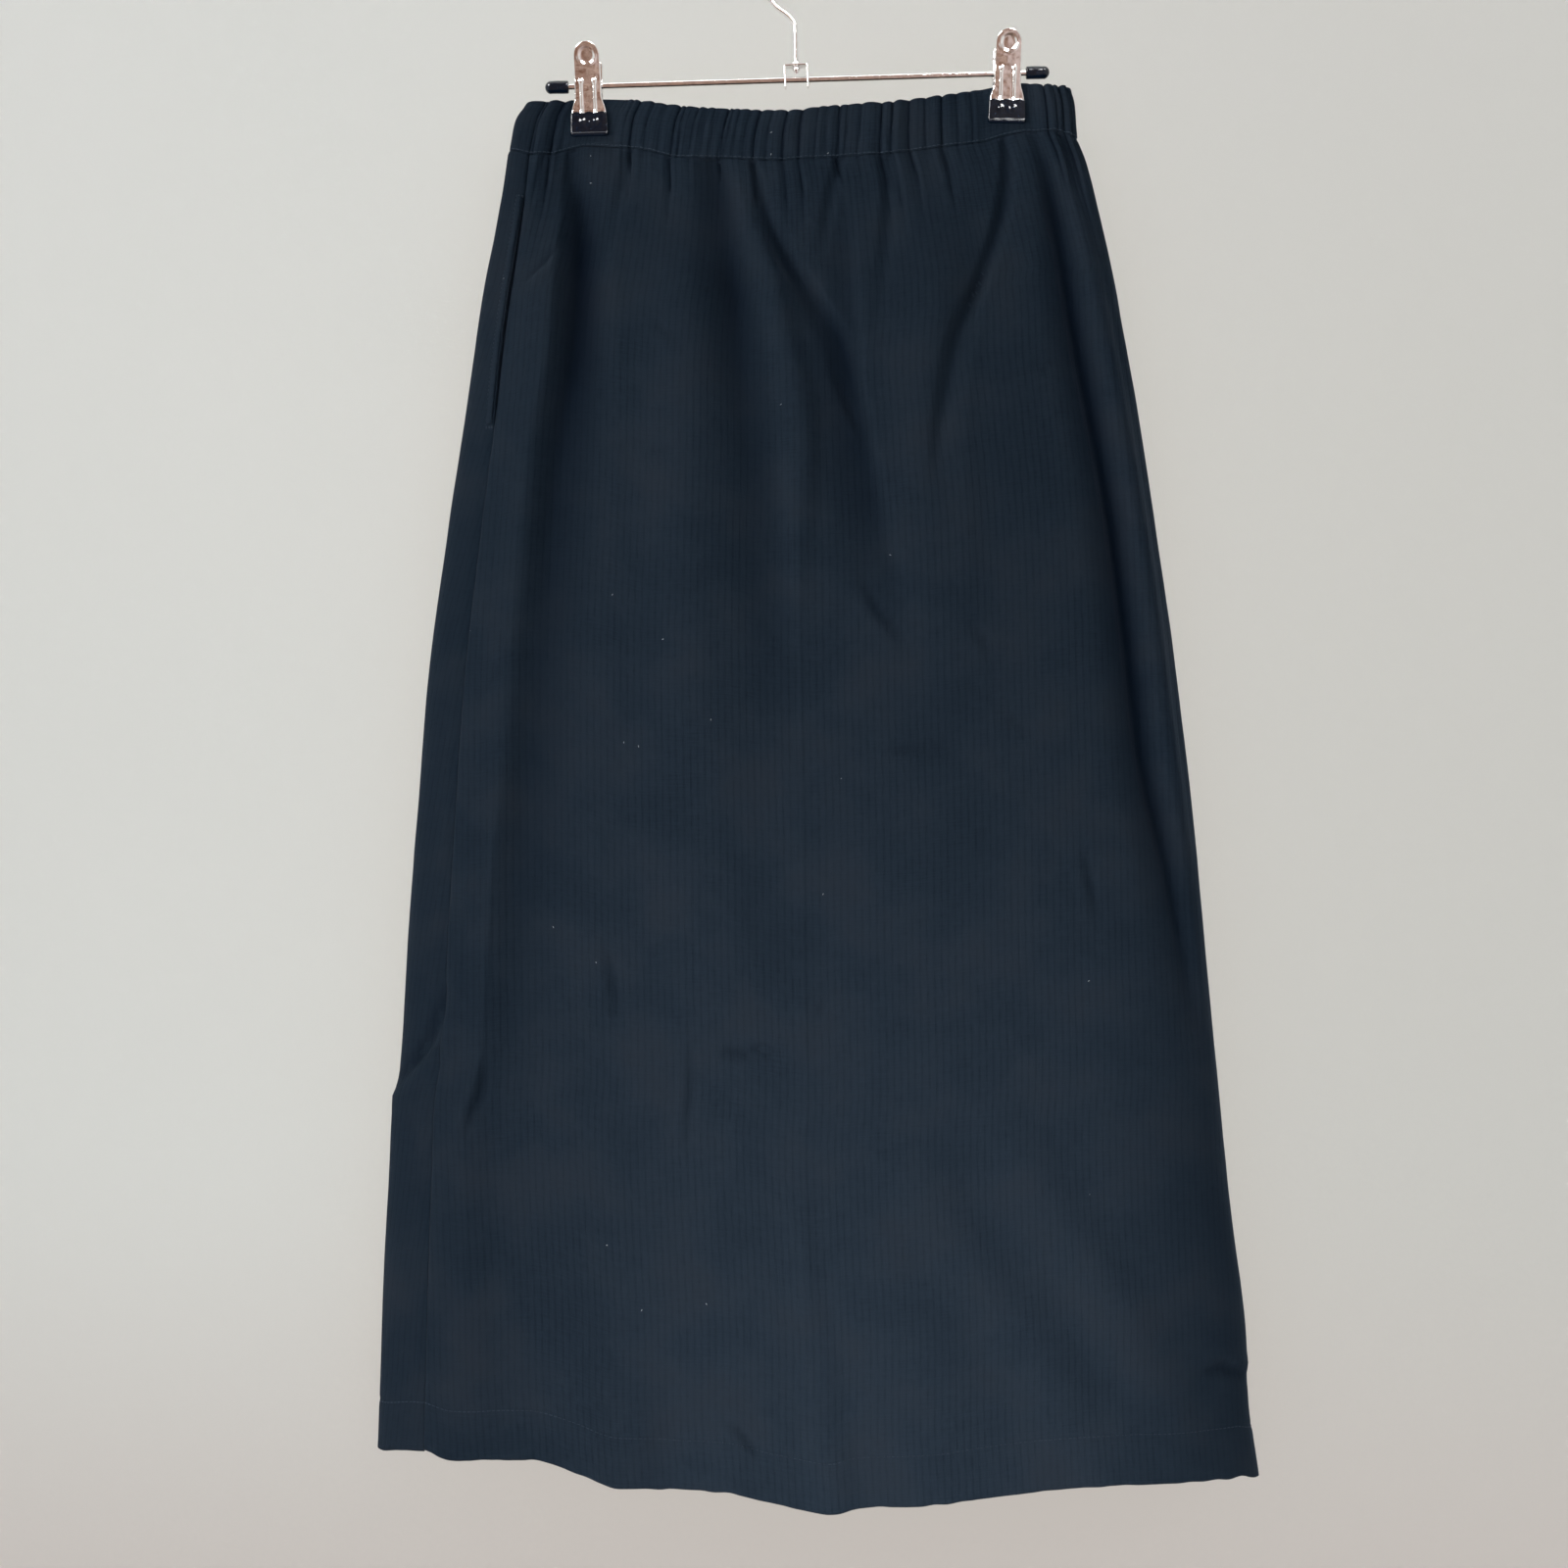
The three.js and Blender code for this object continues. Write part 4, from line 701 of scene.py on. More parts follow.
class MeshDraft:
    """Points and faces gathered in mm, turned into one object in metres."""

    def __init__(self, name: str) -> None:
        """Starts an empty draft with the piece's name."""
        self.name = name
        self.points: list[Array] = []
        self.faces: Faces = []
        self.places: list[Array] = []
        self.painted_shades: list[Array] = []
        self.count = 0

    def add(self, points: Array, faces: Iterable[Sequence[int]], places: Array | None = None,
            painted_shades: Array | None = None) -> None:
        """Adds a closed body.

        Args:
            points: Its points in mm.
            faces: Its faces as indices of its own points, turned here to face out.
            places: Its flat places in mm, for the weave.
            painted_shades: How much painted shade each point gets, 0 to 1.
        """
        points = np.asarray(points, float).reshape(-1, 3)
        faces = [tuple(int(i) for i in f) for f in faces]
        if self._volume(points, faces) < 0:
            faces = [f[::-1] for f in faces]
        self.faces.extend(tuple(i + self.count for i in f) for f in faces)
        self.points.append(points)
        self.places.append(np.zeros((len(points), 2)) if places is None else places.reshape(-1, 2))
        self.painted_shades.append(np.zeros(len(points)) if painted_shades is None else np.resize(painted_shades, len(points)))
        self.count += len(points)

    @staticmethod
    def _volume(points: Array, faces: Faces) -> float:
        """Six times the signed volume that the faces shut in."""
        tris = np.array([(f[0], f[k], f[k + 1]) for f in faces for k in range(1, len(f) - 1)])
        a, b, c = points[tris[:, 0]], points[tris[:, 1]], points[tris[:, 2]]
        return float(np.einsum("ij,ij->", a, np.cross(b, c)))

    def build(self, material: Material, slot: str, nodes: Sequence[str] = (), sharp: float = 42.0,
              placed: bool = False) -> Object:
        """Makes the object, dresses it and gives it to the frame.

        Args:
            material: Its finish.
            slot: The record's material slot; not used.
            nodes: CAD nodes that it stands for.
            sharp: Angle in degrees past which an edge stays sharp.
            placed: Whether the flat places become a map named cloth, and the painted shade an attribute.

        Returns:
            The finished object.
        """
        mesh = bpy.data.meshes.new(self.name)
        mesh.from_pydata((np.concatenate(self.points) * MM).tolist(), [], self.faces)
        if placed:
            layer = mesh.uv_layers.new(name="cloth")
            corners = np.zeros(len(mesh.loops), int)
            mesh.loops.foreach_get("vertex_index", corners)
            layer.data.foreach_set("uv", np.concatenate(self.places)[corners].astype(np.float32).ravel())
            depth = mesh.attributes.new("hollow", "FLOAT", "POINT")
            depth.data.foreach_set("value", np.concatenate(self.painted_shades).astype(np.float32))
        mesh.shade_smooth()
        mesh.set_sharp_from_angle(angle=math.radians(sharp))
        mesh.materials.append(material)
        piece = bpy.data.objects.new(self.name, mesh)
        bpy.context.scene.collection.objects.link(piece)
        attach(piece, "root")
        if nodes:
            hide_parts(*nodes)
        log.info("%s: %d points, %d faces", self.name, len(mesh.vertices), len(mesh.polygons))
        return piece


def grid_faces(rows: int, columns: int, start: int = 0, turned: bool = False) -> Faces:
    """Four-sided faces of a grid of points.

    Args:
        rows: Rows of points.
        columns: Points in a row.
        start: Index of the first point.
        turned: Whether the faces look the other way.

    Returns:
        The faces.
    """
    ids = start + np.arange(rows * columns).reshape(rows, columns)
    quads = np.stack([ids[:-1, :-1], ids[:-1, 1:], ids[1:, 1:], ids[1:, :-1]], -1).reshape(-1, 4)
    return [tuple(q) for q in (quads[:, ::-1] if turned else quads).tolist()]


def zip_rows(a: Array, b: Array, at_a: Array, at_b: Array, turned: bool) -> Faces:
    """Triangles between two rows of points with different counts.

    Args:
        a: Indices of the first row.
        b: Indices of the second row.
        at_a: Where each of its points lies along the row, 0 to 1.
        at_b: The same for the second row.
        turned: Whether the triangles look the other way.

    Returns:
        The triangles.
    """
    faces, i, j = [], 0, 0
    while i < len(a) - 1 or j < len(b) - 1:
        if j == len(b) - 1 or (i < len(a) - 1 and at_a[i + 1] <= at_b[j + 1] + 1e-9):
            faces.append((a[i], a[i + 1], b[j]))
            i += 1
        else:
            faces.append((b[j + 1], b[j], a[i]))
            j += 1
    return [f[::-1] for f in faces] if turned else faces


def sheet_faces(outer: tuple[int, int], inner: tuple[int, int]) -> Faces:
    """Faces of a shell between an outer and an inner grid of different fineness, closed all round."""
    (r1, c1), (r2, c2) = outer, inner
    a = np.arange(r1 * c1).reshape(r1, c1)
    b = r1 * c1 + np.arange(r2 * c2).reshape(r2, c2)
    faces = grid_faces(r1, c1) + grid_faces(r2, c2, r1 * c1, True)
    across_a, across_b, down_a, down_b = (np.linspace(0, 1, n) for n in (c1, c2, r1, r2))
    faces += zip_rows(a[0], b[0], across_a, across_b, True)
    faces += zip_rows(a[-1], b[-1], across_a, across_b, False)
    faces += zip_rows(a[:, 0], b[:, 0], down_a, down_b, False)
    faces += zip_rows(a[:, -1], b[:, -1], down_a, down_b, True)
    return faces


def shell(outer: Array, inner: Array) -> Solid:
    """Points and faces of a thin closed body between an outer and an inner grid of points."""
    points = np.concatenate([outer.reshape(-1, 3), inner.reshape(-1, 3)])
    return points, sheet_faces(outer.shape[:2], inner.shape[:2])


def loop_faces(rows: int, columns: int) -> Faces:
    """Faces of rows that close on themselves from last to first, with both ends shut by strips."""
    ids = np.arange(rows * columns).reshape(rows, columns)
    faces = []
    for r in range(rows):
        a, b = ids[r], ids[(r + 1) % rows]
        faces.extend(zip(a[:-1].tolist(), a[1:].tolist(), b[1:].tolist(), b[:-1].tolist()))
    for column, turned in ((0, False), (columns - 1, True)):
        ring = ids[:, column].tolist()
        for k in range((rows - 1) // 2):
            quad = [ring[k], ring[k + 1], ring[rows - 2 - k], ring[rows - 1 - k]]
            face = quad[:2] + quad[3:] if quad[1] == quad[2] else quad
            faces.append(tuple(face[::-1] if turned else face))
    return faces


def sweep(path: Array, radius: Array | float, sides: int = 14) -> Solid:
    """A round wire along a path, with domed ends.

    Args:
        path: Points of the centre line in mm.
        radius: Radius, one value or one a point.
        sides: Sides of the round section.

    Returns:
        Points and faces.
    """
    path = np.asarray(path, float)
    radius = np.broadcast_to(np.asarray(radius, float), (len(path),))
    tangent = unit(np.gradient(path, axis=0))
    side = np.zeros_like(path)
    side[0] = unit(np.cross(tangent[0], [0.3, 1.0, 0.2]))
    for i in range(1, len(path)):
        side[i] = unit(side[i - 1] - tangent[i] * np.dot(side[i - 1], tangent[i]))
    other = np.cross(tangent, side)
    dome = np.radians([25, 55, 80])
    ends = []
    for index, sign in ((0, -1), (-1, 1)):
        rings = [(path[index] + sign * tangent[index] * radius[index] * math.sin(a),
                  radius[index] * math.cos(a))
                 for a in dome]
        ends.append([(centre, r, side[index], other[index]) for centre, r in rings])
    rings = (ends[0][::-1] + [(path[i], radius[i], side[i], other[i]) for i in range(len(path))] + ends[1])
    turn = np.linspace(0, 2 * np.pi, sides, endpoint=False)
    points = np.concatenate([
        c + r * (np.cos(turn)[:, None] * s + np.sin(turn)[:, None] * o) for c, r, s, o in rings])
    return points, tube_faces(len(rings), sides)


def tube_faces(rings: int, sides: int) -> Faces:
    """Faces of stacked rings with a fan at each end."""
    ids = np.arange(rings * sides).reshape(rings, sides)
    faces = []
    for a, b in zip(ids[:-1], ids[1:]):
        faces.extend(zip(a.tolist(), np.roll(a, -1).tolist(), np.roll(b, -1).tolist(), b.tolist()))
    return faces + [tuple(ids[0][::-1].tolist()), tuple(ids[-1].tolist())]


def lathe(profile: Sequence[tuple[float, float]], sides: int = 40) -> Solid:
    """A turned solid about the x axis from a profile of (place along x, radius)."""
    turn = np.linspace(0, 2 * np.pi, sides, endpoint=False)
    points = np.concatenate([
        np.stack([np.full(sides, x), r * np.cos(turn), r * np.sin(turn)], -1) for x, r in profile])
    return points, tube_faces(len(profile), sides)


def curve_through(points: Sequence[tuple[float, ...]], steps: int = 8) -> Array:
    """A smooth line through points, as a Catmull-Rom curve."""
    p = np.array(points, float)
    p = np.concatenate([[2 * p[0] - p[1]], p, [2 * p[-1] - p[-2]]])
    t = np.linspace(0, 1, steps, endpoint=False)[:, None]
    runs = [0.5 * (2 * b + (c - a) * t + (2 * a - 5 * b + 4 * c - d) * t ** 2
                   + (3 * b - a - 3 * c + d) * t ** 3)
            for a, b, c, d in zip(p, p[1:], p[2:], p[3:])]
    return np.concatenate(runs + [p[-2:-1]])


def turned(points: Array, degrees: float, x: float, z: float) -> Array:
    """Points tilted in the plane of the wall, then moved to a place on the rod."""
    a = math.radians(degrees)
    px, py, pz = np.asarray(points, float).T
    return np.stack([
        px * math.cos(a) + pz * math.sin(a) + x, py, pz * math.cos(a) - px * math.sin(a) + z], -1)


# Shader nodes

class Graph:
    """A node tree written as short calls."""

    def __init__(self, tree: NodeTree) -> None:
        """Empties the tree."""
        self.tree = tree
        tree.nodes.clear()

    def add(self, kind: str, inputs: dict | None = None, **settings: object) -> Node:
        """Adds a node.

        Args:
            kind: The node's type without its ShaderNode start.
            inputs: Values or sockets by the input's name or number.
            settings: Properties of the node.

        Returns:
            The node.
        """
        node = self.tree.nodes.new(kind if kind.startswith("Node") else f"ShaderNode{kind}")
        for name, value in settings.items():
            setattr(node, name, value)
        self.feed(node, inputs or {})
        return node

    def feed(self, node: Node, inputs: dict) -> None:
        """Sets or links a node's inputs, by name or number."""
        for name, value in inputs.items():
            if isinstance(value, NodeSocket):
                self.tree.links.new(value, node.inputs[name])
            else:
                node.inputs[name].default_value = value

    def math(self, operation: str, *values: object) -> NodeSocket:
        """Result of a Math node on values or sockets."""
        return self.add("Math", dict(enumerate(values)), operation=operation).outputs[0]

    def ramp(self, value: NodeSocket, low: float, high: float, a: float = 0.0, b: float = 1.0
             ) -> NodeSocket:
        """Eased rise from a to b as the value goes from low to high."""
        limits = {"Value": value, "From Min": low, "From Max": high, "To Min": a, "To Max": b}
        return self.add("MapRange", limits, interpolation_type="SMOOTHSTEP").outputs[0]

    def blend(self, factor: object, a: object, b: object) -> NodeSocket:
        """Colour between a and b."""
        return self.add("Mix", {"Factor": factor, 6: a, 7: b}, data_type="RGBA").outputs[2]

    def noise(self, vector: object, scale: float, detail: float = 3.0, roughness: float = 0.5) -> NodeSocket:
        """Value of a noise texture."""
        inputs = {"Vector": vector, "Scale": scale, "Detail": detail, "Roughness": roughness}
        return self.add("TexNoise", inputs).outputs[0]

    def scaled(self, vector: object, size: Point) -> NodeSocket:
        """A vector times a size along each axis."""
        return self.add("VectorMath", {0: vector, 1: size}, operation="MULTIPLY").outputs[0]


class Effect(Enum):
    """The shader node groups that more than one finish uses."""

    RIB_WEAVE = "rib_weave"
    SLUB = "slub"
    LINT = "lint"
    SMUDGE = "smudge"

    def group(self) -> NodeTree:
        """The node group, built on first use."""
        tree = bpy.data.node_groups.get(self.value)
        makers = {Effect.RIB_WEAVE: rib_weave, Effect.SLUB: slub, Effect.LINT: lint, Effect.SMUDGE: smudge}
        return tree or makers[self](self.value)

    def place(self, graph: Graph, inputs: dict) -> Node:
        """Puts the group into a finish with its own values."""
        node = graph.add("Group", node_tree=self.group())
        graph.feed(node, inputs)
        return node


def open_group(name: str, inputs: dict[str, tuple[str, object]], outputs: dict[str, str]
               ) -> tuple[Graph, Node, Node]:
    """Starts a node group.

    Args:
        name: Its name.
        inputs: Kind and default of each input by name.
        outputs: Kind of each output by name.

    Returns:
        The graph, the node of its inputs and the node of its outputs.
    """
    tree = bpy.data.node_groups.new(name, "ShaderNodeTree")
    for label, (kind, value) in inputs.items():
        socket = tree.interface.new_socket(name=label, in_out="INPUT", socket_type=f"NodeSocket{kind}")
        if value is not None:
            socket.default_value = value
    for label, kind in outputs.items():
        tree.interface.new_socket(name=label, in_out="OUTPUT", socket_type=f"NodeSocket{kind}")
    graph = Graph(tree)
    return graph, graph.add("NodeGroupInput"), graph.add("NodeGroupOutput")


def rib_weave(name: str) -> NodeTree:
    """Woven threads with a fine corded stripe that runs down the cloth, on flat places in mm."""
    g, given, out = open_group(
        name,
        {"Vector": ("Vector", None), "Stripe Pitch": ("Float", 4.4), "Thread Pitch": ("Float", 0.62),
         "Stripe Depth": ("Float", 0.6)},
        {"Height": "Float", "Stripe": "Float", "Thread": "Float"})
    split = g.add("SeparateXYZ", {0: given.outputs["Vector"]})
    drift = g.math("MULTIPLY", g.noise(g.scaled(given.outputs["Vector"], (0.05, 0.006, 1)), 1.0, 2), 1.1)
    across = g.math("ADD", split.outputs[0], drift)
    wave = g.math("COSINE", g.math("MULTIPLY", g.math("DIVIDE", across, given.outputs["Stripe Pitch"]),
                                   math.tau))
    broken = g.ramp(g.noise(g.scaled(given.outputs["Vector"], (0.5, 0.16, 1)), 1.0, 2),
                    0.34, 0.62, 0.35, 1.0)
    stripe = g.math("MULTIPLY", g.ramp(wave, 0.15, 0.95), broken)
    warp = g.math("SINE", g.math("MULTIPLY", g.math("DIVIDE", across, given.outputs["Thread Pitch"]),
                                 math.tau))
    weft_at = g.math("DIVIDE", split.outputs[1], given.outputs["Thread Pitch"])
    weft = g.math("SINE", g.math("MULTIPLY", weft_at, math.tau))
    thread = g.math("MULTIPLY", warp, weft)
    height = g.math("SUBTRACT", g.math("MULTIPLY", thread, 0.16),
                    g.math("MULTIPLY", stripe, given.outputs["Stripe Depth"]))
    g.feed(out, {"Height": height, "Stripe": stripe, "Thread": thread})
    return g.tree


def slub(name: str) -> NodeTree:
    """Uneven yarn: thick and thin stretches across and down the cloth, and soft cloudy fading."""
    g, given, out = open_group(
        name, {"Vector": ("Vector", None), "Length": ("Float", 14.0), "Fade Size": ("Float", 60.0)},
        {"Yarn": "Float", "Cloud": "Float"})
    vector = given.outputs["Vector"]
    per_length = g.math("DIVIDE", 1.0, given.outputs["Length"])
    split = g.add("SeparateXYZ", {0: vector})
    weft = g.add("CombineXYZ", {0: g.math("MULTIPLY", split.outputs[0], per_length), 1: split.outputs[1]})
    warp = g.add("CombineXYZ", {0: split.outputs[0], 1: g.math("MULTIPLY", split.outputs[1], per_length)})
    weft_value = g.noise(weft.outputs[0], 1.1, 2, 0.6)
    warp_value = g.noise(warp.outputs[0], 1.3, 2, 0.6)
    yarn = g.math("ADD", g.math("MULTIPLY", weft_value, 0.55), g.math("MULTIPLY", warp_value, 0.45))
    fade = g.add("VectorMath", {0: vector, "Scale": g.math("DIVIDE", 1.0, given.outputs["Fade Size"])},
                 operation="SCALE")
    g.feed(out, {"Yarn": yarn, "Cloud": g.noise(fade.outputs[0], 1.0, 4, 0.55)})
    return g.tree


def lint(name: str) -> NodeTree:
    """A few pale specks of dust and lint."""
    g, given, out = open_group(
        name, {"Vector": ("Vector", None), "Spacing": ("Float", 26.0), "Size": ("Float", 0.016)},
        {"Mask": "Float"})
    scale = g.math("DIVIDE", 1.0, given.outputs["Spacing"])
    cells = g.add("TexVoronoi", {"Vector": given.outputs["Vector"], "Scale": scale, "Randomness": 1.0})
    colour = g.add("SeparateColor", {0: cells.outputs["Color"]})
    near = g.math("LESS_THAN", cells.outputs["Distance"], given.outputs["Size"])
    kept = g.math("GREATER_THAN", colour.outputs[0], 0.62)
    g.feed(out, {"Mask": g.math("MULTIPLY", near, kept)})
    return g.tree


def smudge(name: str) -> NodeTree:
    """Handling marks on a hard surface: cloudy patches, and hair scratches, on places in metres."""
    g, given, out = open_group(
        name, {"Vector": ("Vector", None), "Low": ("Float", 0.05), "High": ("Float", 0.2)},
        {"Roughness": "Float", "Height": "Float"})
    vector = given.outputs["Vector"]
    cloud = g.ramp(g.noise(vector, 160.0, 4, 0.6), 0.35, 0.75)
    scratch = g.ramp(g.noise(g.scaled(vector, (1, 1, 0.08)), 2600.0, 2, 0.5), 0.55, 0.72)
    amount = g.math("MAXIMUM", cloud, g.math("MULTIPLY", scratch, 0.6))
    rough = g.add("MapRange", {"Value": amount, "To Min": given.outputs["Low"],
                               "To Max": given.outputs["High"]})
    g.feed(out, {"Roughness": rough.outputs[0], "Height": g.noise(vector, 420.0, 2, 0.5)})
    return g.tree


# Finishes

def paint(colour: Colour, by: float = 1.0) -> tuple[float, ...]:
    """A colour with full alpha, made lighter or darker."""
    return (*[c * by for c in colour], 1)


def new_material(name: str) -> tuple[Graph, Node]:
    """A material with a Principled shader wired to its output.

    Args:
        name: The material's name.

    Returns:
        Its graph and the shader.
    """
    material = bpy.data.materials.new(name)
    material.use_nodes = True
    graph = Graph(material.node_tree)
    shader = graph.add("BsdfPrincipled")
    graph.add("OutputMaterial", {"Surface": shader.outputs[0]})
    return graph, shader


@dataclass(frozen=True)
class ClothFinish:
    """Navy cotton and linen with a fine corded stripe, washed soft, with painted light and shade in its
    colour.
    """

    name: str = "navy_ribbed_cloth"
    dark: Colour = (0.0038, 0.0072, 0.0124)
    light: Colour = (0.0190, 0.0285, 0.0412)
    faded: Colour = (0.0165, 0.0200, 0.0262)
    # Strength of the painted light that makes the cloth lighter towards the lower middle.
    painted_lower_light: float = 0.24
    stripe_depth: float = 0.6
    bump: float = 0.6
    sheen: float = 0.011
    # Strength and tint of the painted shade in folds, gathers and creases.
    painted_shade_share: float = 0.9
    painted_shade_tint: Colour = (0.3, 0.42, 0.56)
    speck: Colour = (0.22, 0.24, 0.25)

    def build(self) -> Material:
        """Makes the material."""
        g, shader = new_material(self.name)
        flat = g.add("UVMap", uv_map="cloth").outputs[0]
        weave = Effect.RIB_WEAVE.place(g, {"Vector": flat, "Stripe Depth": self.stripe_depth})
        yarn = Effect.SLUB.place(g, {"Vector": flat})
        specks = Effect.LINT.place(g, {"Vector": flat})
        tone = g.math("ADD", g.math("MULTIPLY", g.ramp(yarn.outputs["Yarn"], 0.3, 0.7), 0.34),
                      g.math("MULTIPLY", g.ramp(yarn.outputs["Cloud"], 0.3, 0.7), 0.24))
        # Painted light and shade on the weave: lighter on raised threads, darker in the stripe's grooves.
        tone = g.math("ADD", tone, g.math("MULTIPLY", weave.outputs["Thread"], 0.07))
        tone = g.math("SUBTRACT", g.math("ADD", tone, 0.25),
                      g.math("MULTIPLY", weave.outputs["Stripe"], 0.17))
        place = g.add("SeparateXYZ", {0: flat})
        # Painted light: the colour grows lighter towards the lower middle of the skirt.
        aside = g.math("ABSOLUTE", g.math("SUBTRACT", place.outputs[0], 60.0))
        painted_lower_light = g.math("MULTIPLY", g.ramp(place.outputs[1], 240.0, 820.0, 0.0, self.painted_lower_light),
                        g.ramp(aside, 260.0, 90.0))
        tone = g.math("ADD", tone, painted_lower_light)
        # Painted shade: the colour grows darker towards both sides.
        tone = g.math("MULTIPLY", tone, g.ramp(place.outputs[0], -130.0, -250.0, 1.0, 0.68))
        tone = g.math("MULTIPLY", tone, g.ramp(place.outputs[0], 170.0, 290.0, 1.0, 0.55))
        colour = g.blend(tone, paint(self.dark), paint(self.light))
        worn = g.blend(g.ramp(yarn.outputs["Cloud"], 0.42, 0.75, 0.0, 0.45), colour, paint(self.faded))
        # Painted shade in folds, gathers and creases, from a mask stored on the mesh, towards a darker,
        # bluer tint.
        hollow = g.math("MULTIPLY", g.add("Attribute", attribute_name="hollow").outputs["Fac"],
                        self.painted_shade_share)
        deep = g.blend(hollow, worn, (*[c * k for c, k in zip(self.dark, self.painted_shade_tint)], 1))
        speckled = g.blend(specks.outputs["Mask"], deep, paint(self.speck))
        height = g.math("ADD", weave.outputs["Height"], g.math("MULTIPLY", yarn.outputs["Yarn"], 0.5))
        bump = g.add("Bump", {"Height": height, "Strength": self.bump, "Distance": 0.0004})
        rough = g.ramp(yarn.outputs["Yarn"], 0.3, 0.7, 0.78, 0.92)
        g.feed(shader, {"Base Color": speckled, "Normal": bump.outputs[0], "Roughness": rough,
                        "Specular IOR Level": 0.035, "Sheen Weight": self.sheen, "Sheen Roughness": 0.45,
                        "Sheen Tint": (0.72, 0.82, 1.0, 1)})
        return bpy.data.materials[self.name]


@dataclass(frozen=True)
class ThreadFinish:
    """Twisted sewing thread."""

    name: str = "navy_thread"
    colour: Colour = (0.021, 0.030, 0.042)
    twist: float = 2100.0

    def build(self) -> Material:
        """Makes the material."""
        g, shader = new_material(self.name)
        place = g.add("TexCoord").outputs["Object"]
        twist = g.add("TexWave", {"Vector": place, "Scale": self.twist, "Distortion": 2.0},
                      bands_direction="DIAGONAL")
        tone = g.noise(place, 900.0, 2)
        colour = g.blend(g.ramp(tone, 0.3, 0.7), paint(self.colour, 0.7), paint(self.colour, 1.35))
        bump = g.add("Bump", {"Height": twist.outputs["Fac"], "Strength": 0.5, "Distance": 0.00012})
        g.feed(shader, {"Base Color": colour, "Normal": bump.outputs[0], "Roughness": 0.7,
                        "Specular IOR Level": 0.12})
        return bpy.data.materials[self.name]


@dataclass(frozen=True)
class ChromeFinish:
    """Bright plated steel with handling marks."""

    name: str = "bright_chrome"
    colour: Colour = (0.86, 0.84, 0.83)
    low: float = 0.045
    high: float = 0.16
    ripple: float = 0.35

    def build(self) -> Material:
        """Makes the material."""
        g, shader = new_material(self.name)
        place = g.add("TexCoord").outputs["Object"]
        marks = Effect.SMUDGE.place(g, {"Vector": place, "Low": self.low, "High": self.high})
        tone = g.ramp(g.noise(place, 240.0, 3), 0.35, 0.7)
        colour = g.blend(tone, paint(self.colour), paint(self.colour, 0.86))
        bump = g.add("Bump", {"Height": marks.outputs["Height"], "Strength": self.ripple,
                              "Distance": 0.0002})
        g.feed(shader, {"Base Color": colour, "Roughness": marks.outputs["Roughness"],
                        "Normal": bump.outputs[0], "Metallic": 1.0})
        return bpy.data.materials[self.name]


@dataclass(frozen=True)
class VinylFinish:
    """Glossy dipped vinyl."""

    name: str = "dipped_vinyl"
    colour: Colour = (0.0020, 0.0056, 0.0120)

    def build(self) -> Material:
        """Makes the material."""
        g, shader = new_material(self.name)
        place = g.add("TexCoord").outputs["Object"]
        marks = Effect.SMUDGE.place(g, {"Vector": place, "Low": 0.08, "High": 0.22})
        tone = g.ramp(g.noise(place, 300.0, 3), 0.3, 0.7)
        colour = g.blend(tone, paint(self.colour), paint(self.colour, 1.6))
        bump = g.add("Bump", {"Height": marks.outputs["Height"], "Strength": 0.4, "Distance": 0.0003})
        g.feed(shader, {"Base Color": colour, "Roughness": marks.outputs["Roughness"],
                        "Normal": bump.outputs[0], "Specular IOR Level": 0.1, "Coat Weight": 0.5,
                        "Coat Roughness": 0.035})
        return bpy.data.materials[self.name]


@dataclass(frozen=True)
class PlasterFinish:
    """Pale painted wall or floor, seen from its front only, with painted shade that makes it darker to the
    right and near the floor.
    """

    name: str
    colour: Colour
    right: Colour
    low: Colour

    def build(self) -> Material:
        """Makes the material."""
        g, shader = new_material(self.name)
        place = g.add("TexCoord").outputs["Object"]
        tone = g.ramp(g.noise(place, 2.4, 4), 0.3, 0.7)
        split = g.add("SeparateXYZ", {0: place})
        below = g.math("MULTIPLY", split.outputs[2], -1.0)
        clean = g.blend(tone, paint(self.colour, 0.985), paint(self.colour))
        # Painted shade: darker to the right and towards the floor.
        across = g.blend(g.ramp(split.outputs[0], -0.4, 0.5), clean, paint(self.right))
        colour = g.blend(g.ramp(below, 0.75, 1.15), across, paint(self.low))
        bump = g.add("Bump", {"Height": g.noise(place, 90.0, 4), "Strength": 0.08, "Distance": 0.001})
        g.feed(shader, {"Base Color": colour, "Normal": bump.outputs[0], "Roughness": 0.6,
                        "Specular IOR Level": 0.2})
        side = g.add("NewGeometry").outputs["Backfacing"]
        clear = g.add("BsdfTransparent").outputs[0]
        both = g.add("MixShader", {0: side, 1: shader.outputs[0], 2: clear})
        output = next(n for n in g.tree.nodes if n.type == "OUTPUT_MATERIAL")
        g.feed(output, {"Surface": both.outputs[0]})
        return bpy.data.materials[self.name]


# The skirt

